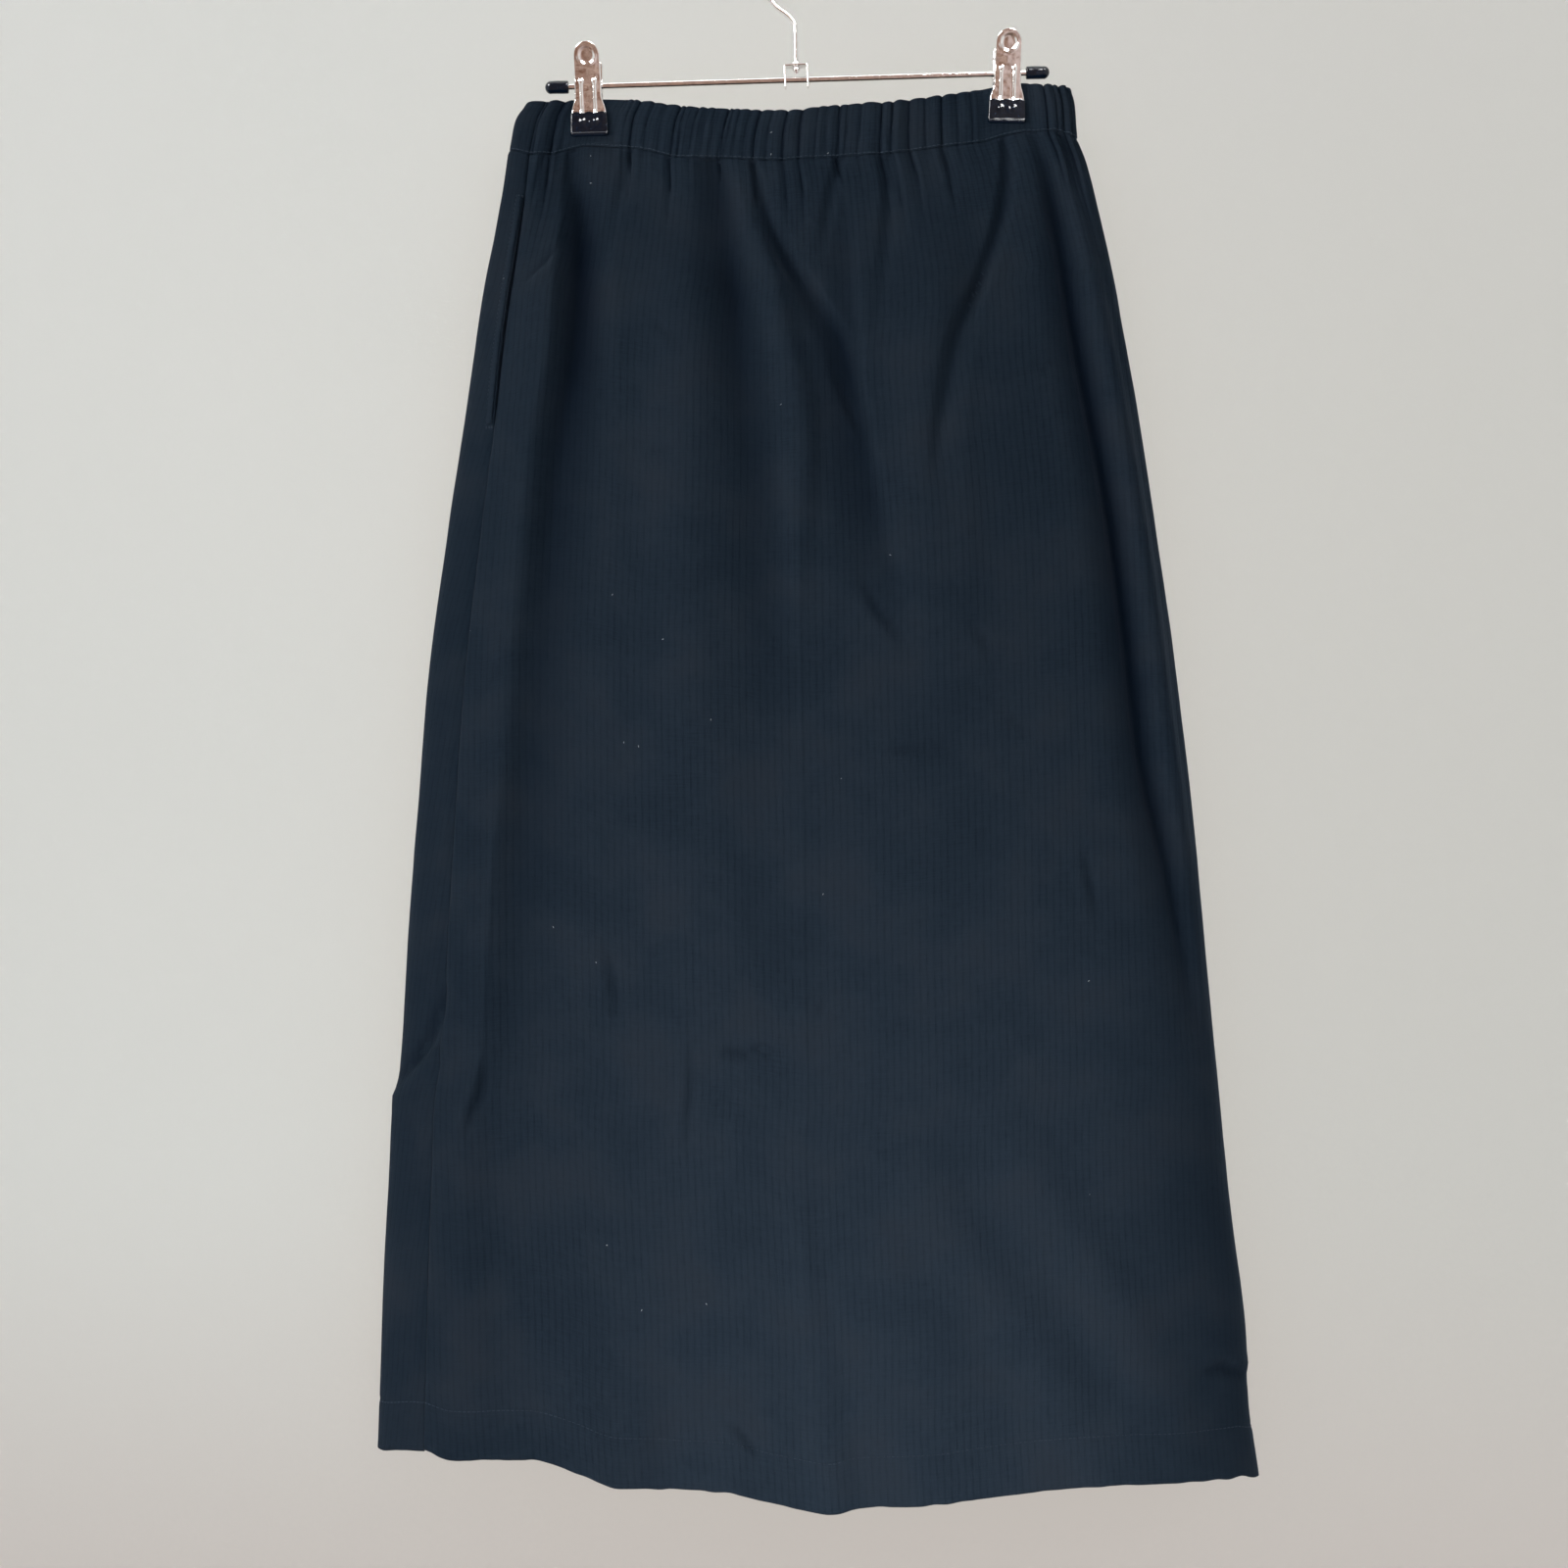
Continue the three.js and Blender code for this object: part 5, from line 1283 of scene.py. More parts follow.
@dataclass
class ClothPanel:
    """One cut panel from the stitch line to the hem, a thin closed shell."""

    form: SkirtForm
    face: Face
    columns: int = 306
    edge_columns: int = 14
    rows: int = 206
    coarse: int = 2
    ragged: float = 0.55
    # Depth of fold that gets full painted shade, its easing, and the painted shade in gathers and creases.
    full_fold: float = 10.5
    fold_fade: float = 1.15
    gather_painted_shade: float = 0.8
    crease_painted_shade: float = 0.36

    def downs(self, count: int) -> Array:
        """Rows down the panel, closest under the waist and about the hem's stitch line."""
        u = np.linspace(0, 1, count)
        dense = Table("u down", ((0, 0), (0.09, 0.028), (0.2, 0.09), (0.36, 0.24), (0.86, 0.90),
                                 (0.93, 0.955), (1, 1)))
        return dense.read("down", u)

    def flat_places(self, laps: Array, downs: Array, points: Array) -> Array:
        """Distances along the cloth from the centre line and down it, in mm."""
        step = np.linalg.norm(np.diff(points, axis=1), axis=2)
        across = np.concatenate([np.zeros((len(downs), 1)), np.cumsum(step, axis=1)], 1)
        centre = self.face.value + 0.5
        for r in range(len(downs)):
            across[r] -= np.interp(centre, laps[r], across[r])
        top = int(np.searchsorted(downs, 0.10))
        for r in range(top):
            across[r] = np.interp(laps[r], laps[top], across[top])
        return np.stack([across + BACK_PLACES * self.face.value,
                         np.broadcast_to(downs[:, None] * SKIRT_LENGTH, across.shape)], -1)

    def painted_shades(self, laps: Array, downs: Array) -> Array:
        """Painted shade at each point, 0 to 1, from how deep it lies in a fold, a gather or a crease."""
        folded = np.clip(-self.form.folds(laps, downs) / self.full_fold, 0, 1) ** self.fold_fade
        gathered = self.gather_painted_shade * smooth(0.1, 1.3, -self.form.gathers(laps, downs))
        creased = self.crease_painted_shade * smooth(0.25, 1.7, -self.form.creases(laps, downs))
        return np.maximum(folded, np.maximum(gathered, creased))

    def build(self, material: Material) -> Object:
        downs = self.downs(self.rows)
        laps = self.form.row_laps(self.face, downs, self.columns, self.edge_columns)
        outer = self.form.cloth(laps, downs[:, None], 0.0, 1.0)
        ragged = self.ragged * value_noise(outer[-1, :, 0] + 900 * self.face.value, 0, (8.5, 1), 61)
        outer[..., 2] += ragged[None, :] * smooth(0.975, 1, downs)[:, None]
        hem = self.form.cloth(laps[-1], np.array(1.0), -HEM_WALL / 2)
        hem[:, 2] = outer[-1, :, 2] - 0.9
        smooth_points = self.form.folded(laps, downs[:, None])
        places = self.flat_places(laps, downs, smooth_points)
        outer = np.concatenate([outer, hem[None]])
        places = np.concatenate([places, places[-1:]])
        inner_downs = self.downs(self.rows // self.coarse)
        inner_laps = self.form.row_laps(self.face, inner_downs, self.columns // self.coarse,
                                        self.edge_columns // self.coarse)
        lift = self.form.inner_lift(inner_downs[:, None])
        inner = self.form.cloth(inner_laps, inner_downs[:, None], lift, 0.6)
        inner_places = self.flat_places(inner_laps, inner_downs, inner)
        painted_shades = np.zeros(outer.shape[:2])
        painted_shades[:-1] = self.painted_shades(laps, downs[:, None])
        painted_shades = np.concatenate([painted_shades.ravel(), np.zeros(inner.shape[0] * inner.shape[1])])
        draft = MeshDraft(f"{self.face.word}_panel_cloth")
        places = np.concatenate([places.reshape(-1, 2), inner_places.reshape(-1, 2)])
        draft.add(*shell(outer, inner), places, painted_shades)
        piece = draft.build(material, "cloth", [f"{self.face.word}_panel"], 60, placed=True)
        return piece


@dataclass
class Casing:
    """The elastic casing of one face: cloth folded over at the top and gathered."""

    form: SkirtForm
    face: Face
    columns: int = 600
    edge_columns: int = 26
    outer_rows: int = 22
    fold_rows: int = 7
    inner_rows: int = 10
    puff_in: float = 0.5
    # Strength of the painted shade in the gather creases.
    crease_painted_shade: float = 0.9

    @staticmethod
    def down_at(t: Array | float) -> Array:
        """Place down the skirt at a height on the casing, 0 at its top and 1 at the stitch line."""
        return (np.asarray(t, float) - 1) * CASING - 1e-6

    def build(self, material: Material) -> Object:
        laps = self.form.row_laps(self.face, np.array([self.down_at(1)]), self.columns, self.edge_columns)[0]
        rows, downs = [], []
        for t in np.linspace(1, 0.05, self.outer_rows):
            rows.append(self.form.cloth(laps, self.down_at(t), 0.0, 1.0))
            downs.append(self.down_at(t))
        half = CASING_WALL / 2
        scallop = self.form.gathers(laps, np.array(self.down_at(0)))
        fold_down = self.down_at(0.02)
        for turn in np.linspace(0, math.pi, self.fold_rows + 2)[1:-1]:
            lift = -half + math.cos(turn) * (half - 0.2)
            row = self.form.cloth(laps, fold_down, lift, 0.5 + 0.5 * math.cos(turn))
            row[:, 2] += math.sin(turn) * (0.75 + 0.55 * scallop)
            rows.append(row)
            downs.append(fold_down)
        for t in np.linspace(0.05, 1, self.inner_rows):
            rows.append(self.form.cloth(laps, self.down_at(t), -CASING_WALL, -self.puff_in))
            downs.append(self.down_at(t))
        points = np.array(rows)
        # Painted shade along the gather creases, the same on every row.
        creased = smooth(-0.1, 1.3, -self.form.gathers(laps, np.array(self.down_at(0.6))))
        painted_shades = np.tile(self.crease_painted_shade * creased, len(rows))
        gathered = self.form.folded(laps, np.array(0.10))
        step = np.linalg.norm(np.diff(gathered, axis=0), axis=1)
        across = np.concatenate([[0], np.cumsum(step)])
        across -= np.interp(self.face.value + 0.5, laps, across)
        down = np.array([float(d) for d in downs]) * SKIRT_LENGTH
        across = across + BACK_PLACES * self.face.value
        places = np.stack(np.broadcast_arrays(across[None, :], down[:, None]), -1)
        draft = MeshDraft(f"waistband_{self.face.word}_cloth")
        draft.add(points, loop_faces(*points.shape[:2]), places, painted_shades)
        piece = draft.build(material, "cloth", [f"waistband_{self.face.word}"], 75, placed=True)
        return piece


@dataclass
class SidePocket:
    """The in-seam pocket of the left side: a narrow edge band, and a flat pouch inside."""

    form: SkirtForm
    width: float = 5.0
    inset: float = 0.9
    lift: float = 0.3
    wall: float = 1.1
    rows: int = 90
    pouch_gap: float = 0.4
    pouch_hang: float = 3.0
    pouch_wall: float = 1.8
    pouch_bottom: float = 0.33
    pouch_reach: float = 0.27

    def edge(self, downs: Array) -> tuple[Array, Array]:
        """Laps of the band's edge beside the slit, and laps to a millimetre."""
        seam = seam_lap(downs)
        per_mm = self.form.gap_lap(seam, np.full_like(downs, 0.5)) / (SEAM_GAP / 2)
        return seam - self.form.gap_lap(seam, downs) - self.inset * per_mm, per_mm

    def band(self, material: Material) -> Object:
        """Makes the edge band, rounded along its fold beside the slit."""
        downs = np.linspace(SLIT_TOP, SLIT_BOTTOM, self.rows)
        edge, per_mm = self.edge(downs)
        across = np.array([0, 0.08, 0.25, 0.5, 0.75, 0.9, 0.97, 1])
        laps = (edge - self.width * per_mm)[:, None] + self.width * per_mm[:, None] * across[None, :]
        base = np.where(downs < 0.04, 1.2, self.lift)[:, None]
        round_off = np.array([0.45, 0.1, 0, 0, 0, 0.08, 0.3, 0.6])[None, :]
        outer = self.form.cloth(laps, downs[:, None], base + self.wall - round_off)
        inner = self.form.cloth(laps, downs[:, None], base + 0.5 * round_off)
        draft = MeshDraft("pocket_edge_band_cloth")
        flat_y = np.broadcast_to(downs[:, None] * SKIRT_LENGTH, laps.shape)
        flat_x = np.broadcast_to(across[None, :] * self.width, laps.shape)
        places = np.stack([flat_x, flat_y], -1).reshape(-1, 2)
        draft.add(*shell(outer, inner), np.concatenate([places, places]))
        piece = draft.build(material, "cloth", ["pocket_edge_band"], 60, placed=True)
        return piece

    def pouch(self, material: Material) -> Object:
        """Makes the flat pouch behind both panels, with a round lower edge."""
        downs = np.linspace(SLIT_TOP, self.pouch_bottom - 0.004, 70)
        seam = seam_lap(downs)
        round_off = np.sqrt(1 - smooth(0.14, self.pouch_bottom + 0.02, downs) ** 2)
        limit = lap_of(share_of(seam) + self.pouch_reach * round_off)
        behind = 0.08
        across = np.linspace(0, 1, 46)[None, :]
        laps = (seam - behind)[:, None] + (limit - seam + behind)[:, None] * across
        hang = (self.pouch_hang * smooth(0, 0.05, share_of(laps) - share_of(seam)[:, None])
                * (laps > seam[:, None]) * smooth(0.034, 0.1, downs)[:, None])
        lift = self.form.inner_lift(downs[:, None]) - self.pouch_gap - hang
        wave = 0.35 * value_noise(laps * 400, downs[:, None] * SKIRT_LENGTH, (11, 40), 21)
        outer = self.form.cloth(laps, downs[:, None], lift + wave - 0.35, detailed=False)
        inner = self.form.cloth(laps, downs[:, None], lift + wave - self.pouch_wall, detailed=False)
        flat_x = np.broadcast_to(laps * 350, laps.shape)
        flat_y = np.broadcast_to(downs[:, None] * SKIRT_LENGTH, laps.shape)
        places = np.stack([flat_x, flat_y], -1).reshape(-1, 2)
        draft = MeshDraft("pocket_bag_cloth")
        draft.add(*shell(outer, inner), np.concatenate([places, places]))
        piece = draft.build(material, "pouch", ["pocket_bag"], 60, placed=True)
        return piece


@dataclass
class Stitching:
    """Runs of small stitches laid on the cloth."""

    form: SkirtForm
    length: float = 2.5
    gap: float = 0.55
    radius: float = 0.29

    def along(self, name: str, runs: Sequence[tuple[Array, Array]], material: Material,
              length: float | None = None) -> Object:
        """Lays stitches along lines on the cloth.

        Args:
            name: The piece's name.
            runs: For each line, its laps and its places down.
            material: The thread's finish.
            length: A stitch's length, or the usual one.

        Returns:
            One piece with every stitch.
        """
        draft = MeshDraft(name)
        length = length or self.length
        for laps, downs in runs:
            points = self.form.cloth(laps, downs, 0.12, 1.0)
            normals = self.form.normal(self.form.folded, laps, downs)
            step = np.linalg.norm(np.diff(points, axis=0), axis=1)
            at = np.concatenate([[0], np.cumsum(step)])
            pitch = length + self.gap
            for n in range(int(at[-1] // pitch)):
                ends = (n * pitch + np.array([0, 0.12, 0.35, 0.65, 0.88, 1]) * length)
                line = np.stack([np.interp(ends, at, points[:, k]) for k in range(3)], -1)
                out = np.stack([np.interp(ends, at, normals[:, k]) for k in range(3)], -1)
                line = line + out * np.array([-0.3, -0.05, 0.05, 0.05, -0.05, -0.3])[:, None]
                draft.add(*sweep(line, self.radius * np.array([0.6, 0.9, 1, 1, 0.9, 0.6]), 6))
        return draft.build(material, "cloth")

    def build(self, material: Material) -> None:
        """Sews the casing line, the hem, and the pocket's topstitch and bar tacks."""
        line = np.linspace(0.02, 1.98, 2400)
        waist = (line, np.full_like(line, -0.0012))
        self.along("waist_stitches", [waist], material)
        round_hem = np.linspace(0.03, 1.97, 1800)
        self.along("hem_stitches", [(round_hem, np.full_like(round_hem, HEM_STITCH))], material)
        downs = np.linspace(SLIT_TOP - 0.002, SLIT_BOTTOM + 0.004, 220)
        pocket = SidePocket(self.form)
        edge, per_mm = pocket.edge(np.clip(downs, SLIT_TOP, SLIT_BOTTOM))
        topstitch = (edge - (pocket.width + 1.6) * per_mm, downs)
        self.along("pocket_topstitch", [topstitch], material, 2.2)
        tacks = []
        for at, reach in ((SLIT_TOP - 0.001, 6.5), (SLIT_BOTTOM + 0.003, 6.5)):
            seam = float(seam_lap(at))
            side = float(per_mm[0])
            for shift in (-0.0006, 0.0, 0.0006):
                laps = seam + side * np.linspace(-reach, 0.8, 24)
                tacks.append((laps, np.full_like(laps, at + shift)))
        self.along("pocket_bar_tacks", tacks, material, 1.5)


@dataclass
class LooseLint:
    """Pale thread ends and specks that lie on the cloth, by share and down on the front."""

    form: SkirtForm
    places: tuple[tuple[float, float, float], ...] = (
        (0.458, -0.0195, 20), (0.461, -0.0035, 75), (0.561, -0.0025, 40), (0.149, 0.028, 10),
        (0.033, 0.098, 30), (0.246, 0.344, 65), (0.317, 0.371, 20), (0.381, 0.430, 80),
        (0.289, 0.451, 100), (0.306, 0.868, 60), (0.267, 0.823, 15), (0.379, 0.862, 130),
        (0.47, 0.19, 45), (0.62, 0.305, 160), (0.27, 0.45, 85), (0.84, 0.63, 25), (0.52, 0.55, 70),
        (0.19, 0.60, 120),
    )

    def build(self, material: Material) -> Object:
        """Makes the specks as one piece."""
        draft = MeshDraft("loose_lint")
        for share, down, angle in self.places:
            lap = np.array(lap_of(share))
            centre = self.form.cloth(lap, np.array(down), 0.25, 1.0)
            at, lean = np.array(down), math.radians(angle)
            side = unit(self.form.form(lap + 0.002, at) - self.form.form(lap - 0.002, at))
            along = math.cos(lean) * side + math.sin(lean) * np.array([0, 0, 1.0])
            line = centre + np.array([-0.55, -0.2, 0.2, 0.55])[:, None] * along
            draft.add(*sweep(line, np.array([0.1, 0.22, 0.2, 0.1]), 6))
        return draft.build(material, "cloth")


# The hanger

ROD_LEFT, ROD_RIGHT, ROD_Z, ROD_TILT, ROD_RADIUS = -156.6, 158.5, -87.7, 1.76, 1.9


def rod_height(x: float) -> float:
    """Height of the rod's centre at a place along it."""
    return ROD_Z + x * math.tan(math.radians(ROD_TILT))


@dataclass
class HangerRod:
    """The chromed rod and the soft caps on its ends."""

    cap_radius: float = 4.0
    cap_length: float = 15.0
    cap_depth: float = 12.0

    def build(self, chrome: Material, vinyl: Material) -> None:
        """Makes the rod and both caps."""
        r = ROD_RADIUS
        profile = [(ROD_LEFT, r - 0.4), (ROD_LEFT + 0.15, r - 0.12), (ROD_LEFT + 0.4, r), *[
            (x, r) for x in np.linspace(ROD_LEFT + 2, ROD_RIGHT - 2, 60)], (ROD_RIGHT - 0.4, r),
            (ROD_RIGHT - 0.15, r - 0.12), (ROD_RIGHT, r - 0.4)]
        draft = MeshDraft("hanger_rod_bar")
        points, faces = lathe(profile, 40)
        draft.add(turned(points, -ROD_TILT, 0, ROD_Z), faces)
        draft.build(chrome, "steel", ["hanger_rod"], 50)
        for sign, word in ((-1, "left"), (1, "right")):
            end = (ROD_LEFT if sign < 0 else ROD_RIGHT) * math.cos(math.radians(ROD_TILT))
            self.cap(sign, f"rod_cap_{word}", end, vinyl)

    def cap(self, sign: int, name: str, end: float, vinyl: Material) -> None:
        """Makes one cap: a sleeve with a rolled mouth and a round nose.

        Args:
            sign: -1 for the left cap, 1 for the right.
            name: The CAD node.
            end: Where the rod ends.
            vinyl: Its finish.
        """
        radius, length = self.cap_radius, self.cap_length
        mouth = [(0.35, ROD_RADIUS + 0.25), (0.0, ROD_RADIUS + 0.7), (0.0, radius - 0.9),
                 (0.12, radius - 0.45), (0.5, radius - 0.12)]
        body = [(x, radius - 0.12 + 0.12 * math.sin(math.pi * x / 11))
                for x in np.linspace(1.2, length - radius, 10)]
        nose = [(length - radius + radius * math.sin(a), radius * math.cos(a))
                for a in np.linspace(0.12, 1.52, 12)]
        points, faces = lathe([*mouth, *body, *nose], 40)
        ripple = 0.07 * np.sin(3 * np.arctan2(points[:, 2], points[:, 1]) + points[:, 0] * 0.5)
        points[:, 1:] *= (1 + ripple / radius)[:, None]
        points[:, 0] -= self.cap_depth - 0.3
        if sign < 0:
            points[:, :2] *= -1
        draft = MeshDraft(f"{name}_sleeve")
        draft.add(turned(points, -ROD_TILT, end, rod_height(end)), faces)
        draft.build(vinyl, "vinyl", [name], 60)


@dataclass
class SkirtClip:
    """A pressed-steel clip on the rod: two plates with ribs, ears round the rod, soft jaws, a spring."""

    side: str
    x: float
    tilt: float
    dimple: float
    sheet: float = 0.9
    head_radius: float = 8.4
    head_z: float = 15.6
    rim: float = 0.8
    rim_reach: float = 0.85
    rib_at: float = 4.2
    rib_height: float = 0.7
    rib_half: float = 0.95
    pad_top: float = -18.2
    pad_bottom: float = -33.5
    side_view: Table = Table("z y", (
        (-32.2, -5.05), (-21, -5.05), (-17, -5.05), (-11.5, -6.1), (-6, -6.85), (1, -7.45), (8, -8.7),
        (16, -11.2), (24, -14)))
    front_view: Table = Table("z half", ((-32.2, 9.3), (-18.2, 11.0), (-17, 10.9), (-8, 8.5), (15.6, 8.4)))

    def half_width(self, z: Array) -> Array:
        """Half the plate's width at a height."""
        head = np.sqrt(np.maximum(self.head_radius ** 2 - (z - self.head_z) ** 2, 0.0))
        return np.where(z > self.head_z, head, self.front_view.read("half", z))

    def plate(self) -> Solid:
        """The front plate as a closed sheet of steel about the rod's centre, with rolled edges and ribs."""
        head = self.head_z + self.head_radius * np.sin(np.radians(np.linspace(88, 0, 22)))
        z = np.concatenate([head, np.linspace(self.head_z, -21.0, 96)[1:]])[:, None]
        s = np.sin(np.linspace(-np.pi / 2, np.pi / 2, 57))[None, :]
        x = self.half_width(z) * s
        radial = self.head_radius - np.hypot(x, np.maximum(z - self.head_z, 0))
        inside = np.where(z > self.head_z, radial, self.half_width(z) - np.abs(x))
        rolled = self.rim * (1 - np.sqrt(1 - (1 - np.clip(inside / self.rim_reach, 0, 1)) ** 2))
        crown = 0.22 * (x / self.head_radius) ** 2
        rib = np.zeros_like(x + z)
        for at in (-self.rib_at, self.rib_at):
            across = np.hypot(np.abs(x - at) / self.rib_half, np.maximum(z - 0.4, 0) / 1.3)
            rib = np.maximum(rib, self.rib_height * np.cos(np.pi / 2 * np.clip(across, 0, 1)))
            ball = np.hypot(x - at, (z - 0.6) * 0.8) / 1.45
            rib = np.maximum(rib, 1.3 * self.rib_height * np.sqrt(1 - np.clip(ball, 0, 1) ** 2))
        reach = np.hypot(x, z - self.head_z - 0.4)
        lip = 0.5 * self.dimple * np.exp(-((reach - 5.7) / 0.7) ** 2) * smooth(1.5, -1.5, z - self.head_z)
        dented = smooth(5.6, 3.4, reach) + 0.12 * value_noise(x + 50, z + 50, (2.6, 2.2), 51)
        thumb = self.dimple * dented - lip
        y = self.side_view.read("y", z) - self.sheet / 2 + rolled + crown - rib + thumb
        outer = np.stack(np.broadcast_arrays(x, y, z), -1)
        shrink = 1 - 0.06 * (np.abs(s) > 0.98)
        inner = np.stack(np.broadcast_arrays(x * shrink, y + self.sheet, z), -1)
        return shell(outer, inner)

    def ear(self, x: float) -> Solid:
        """An ear folded back from the plate's side, with a hole for the rod."""
        radius, bore, half = 4.2, 2.6, self.sheet / 2
        turn = np.radians(np.arange(0, 360, 6))
        web = 6.9 / np.maximum(-np.cos(turn), 1e-6)
        tall = np.where(np.abs(np.sin(turn) * web) < 6.6, web, 6.6 / np.maximum(np.abs(np.sin(turn)), 1e-6))
        lean = np.where(np.cos(turn) < -0.25, np.minimum(tall, web), radius)
        reach = np.where(np.cos(turn) < -0.25, np.maximum(lean, radius), radius)
        kernel = np.array([0.25, 0.5, 0.25])
        reach = np.convolve(np.concatenate([reach[-1:], reach, reach[:1]]), kernel, "valid")
        loops = [(bore, -half + 0.12), (bore + 0.12, -half), (reach - 0.15, -half), (reach, -half + 0.15),
                 (reach, half - 0.15), (reach - 0.15, half), (bore + 0.12, half), (bore, half - 0.12)]
        rings = [np.stack([np.full(len(turn), x + off), r * np.cos(turn), r * np.sin(turn)], -1)
                 for r, off in loops]
        count, ids = len(turn), np.arange(len(loops) * len(turn)).reshape(len(loops), -1)
        faces = []
        for k in range(len(loops)):
            a, b = ids[k], ids[(k + 1) % len(loops)]
            faces.extend((int(a[i]), int(a[(i + 1) % count]), int(b[(i + 1) % count]), int(b[i]))
                         for i in range(count))
        return np.concatenate(rings), faces

    def pad(self) -> Solid:
        """A dipped jaw pad: a soft-edged pillow with swells over the ribs' ends and a lip below."""
        z = mix(self.pad_top, self.pad_bottom, (1 - np.cos(np.linspace(0, np.pi, 44))) / 2)[:, None]
        s = np.sin(np.linspace(-np.pi / 2, np.pi / 2, 61))[None, :]
        t = (self.pad_top - z) / (self.pad_top - self.pad_bottom)
        half = mix(11.6, 12.2, t) - 1.5 * smooth(0.9, 1.0, t) ** 2
        wavy = 0.45 * np.cos(s * 9.0) * (1 - smooth(0, 0.3, t))
        x = half * s
        inside = np.minimum(half - np.abs(x), np.minimum((self.pad_top - z) * 1.3, z - self.pad_bottom))
        edge = np.sqrt(np.clip(1 - (1 - np.clip(inside / 0.95, 0, 1)) ** 2, 0, 1))
        swell = np.zeros_like(x + z)
        for at in (-self.rib_at, self.rib_at):
            swell += 0.85 * np.exp(-((x - at) / 1.5) ** 2 - ((z + 24.0) / 1.7) ** 2)
        swell += 0.5 * np.exp(-((x - 1.2) / 1.2) ** 2 - ((z + 24.8) / 1.3) ** 2)
        lip = 0.66 * np.exp(-((z - self.pad_bottom - 1.5) / 0.7) ** 2) * smooth(0, 0.12, 1 - np.abs(s))
        middle, half_thick = -5.05, 1.3
        uneven = 0.12 * value_noise(x + 40, z + 40, (4, 4), 31)
        front = middle - half_thick * edge - (swell + lip - uneven) * edge
        back = middle + (half_thick - 0.05) * edge
        rows = z + wavy
        outer = np.stack(np.broadcast_arrays(x, front, rows), -1)
        inner = np.stack(np.broadcast_arrays(x, back, rows), -1)
        return shell(outer, inner)

    def spring(self) -> Solid:
        """A coil of wire round the rod whose two legs press the plates apart at the top."""
        wire, coil, half, turns = 0.55, 3.3, 4.4, 6.0
        a = np.linspace(0, turns * math.tau, 260)
        helix = np.stack([mix(-half, half, a / a[-1]), -coil * np.cos(a), -coil * np.sin(a)], -1)
        start = np.array([[-half, -5.6, 8.5], [-half, -4.7, 5.5], [-half, -3.6, 2.2]])
        finish = np.array([[half, -3.6, 2.2], [half, -4.7, 5.5], [half, -5.6, 8.5]])
        return sweep(np.concatenate([start, helix, finish]), wire, 10)

    def seat(self, points: Array) -> Array:
        """Points moved from the rod's centre to the clip's own place and tilt."""
        return turned(points, self.tilt, self.x, rod_height(self.x))

    def build(self, chrome: Material, vinyl: Material) -> None:
        """Makes both plates, both pads and the spring."""
        half_turn = np.array([-1.0, -1.0, 1.0])
        for face, flip, ear_x in (("front", np.ones(3), 7.55), ("back", half_turn, 6.3)):
            steel = MeshDraft(f"clip_{self.side}_{face}_plate")
            for points, faces in (self.plate(), self.ear(-ear_x), self.ear(ear_x)):
                steel.add(self.seat(points * flip), faces)
            steel.build(chrome, "steel", [f"clip_{self.side}_{face}"], 50)
            pad = MeshDraft(f"clip_{self.side}_{face}_jaw")
            points, faces = self.pad()
            pad.add(self.seat(points * flip), faces)
            pad.build(vinyl, "vinyl", [f"clip_{self.side}_pad_{face}"], 70)
        coil = MeshDraft(f"clip_{self.side}_coil")
        points, faces = self.spring()
        coil.add(self.seat(points), faces)
        coil.build(chrome, "steel", [f"clip_{self.side}_spring"])


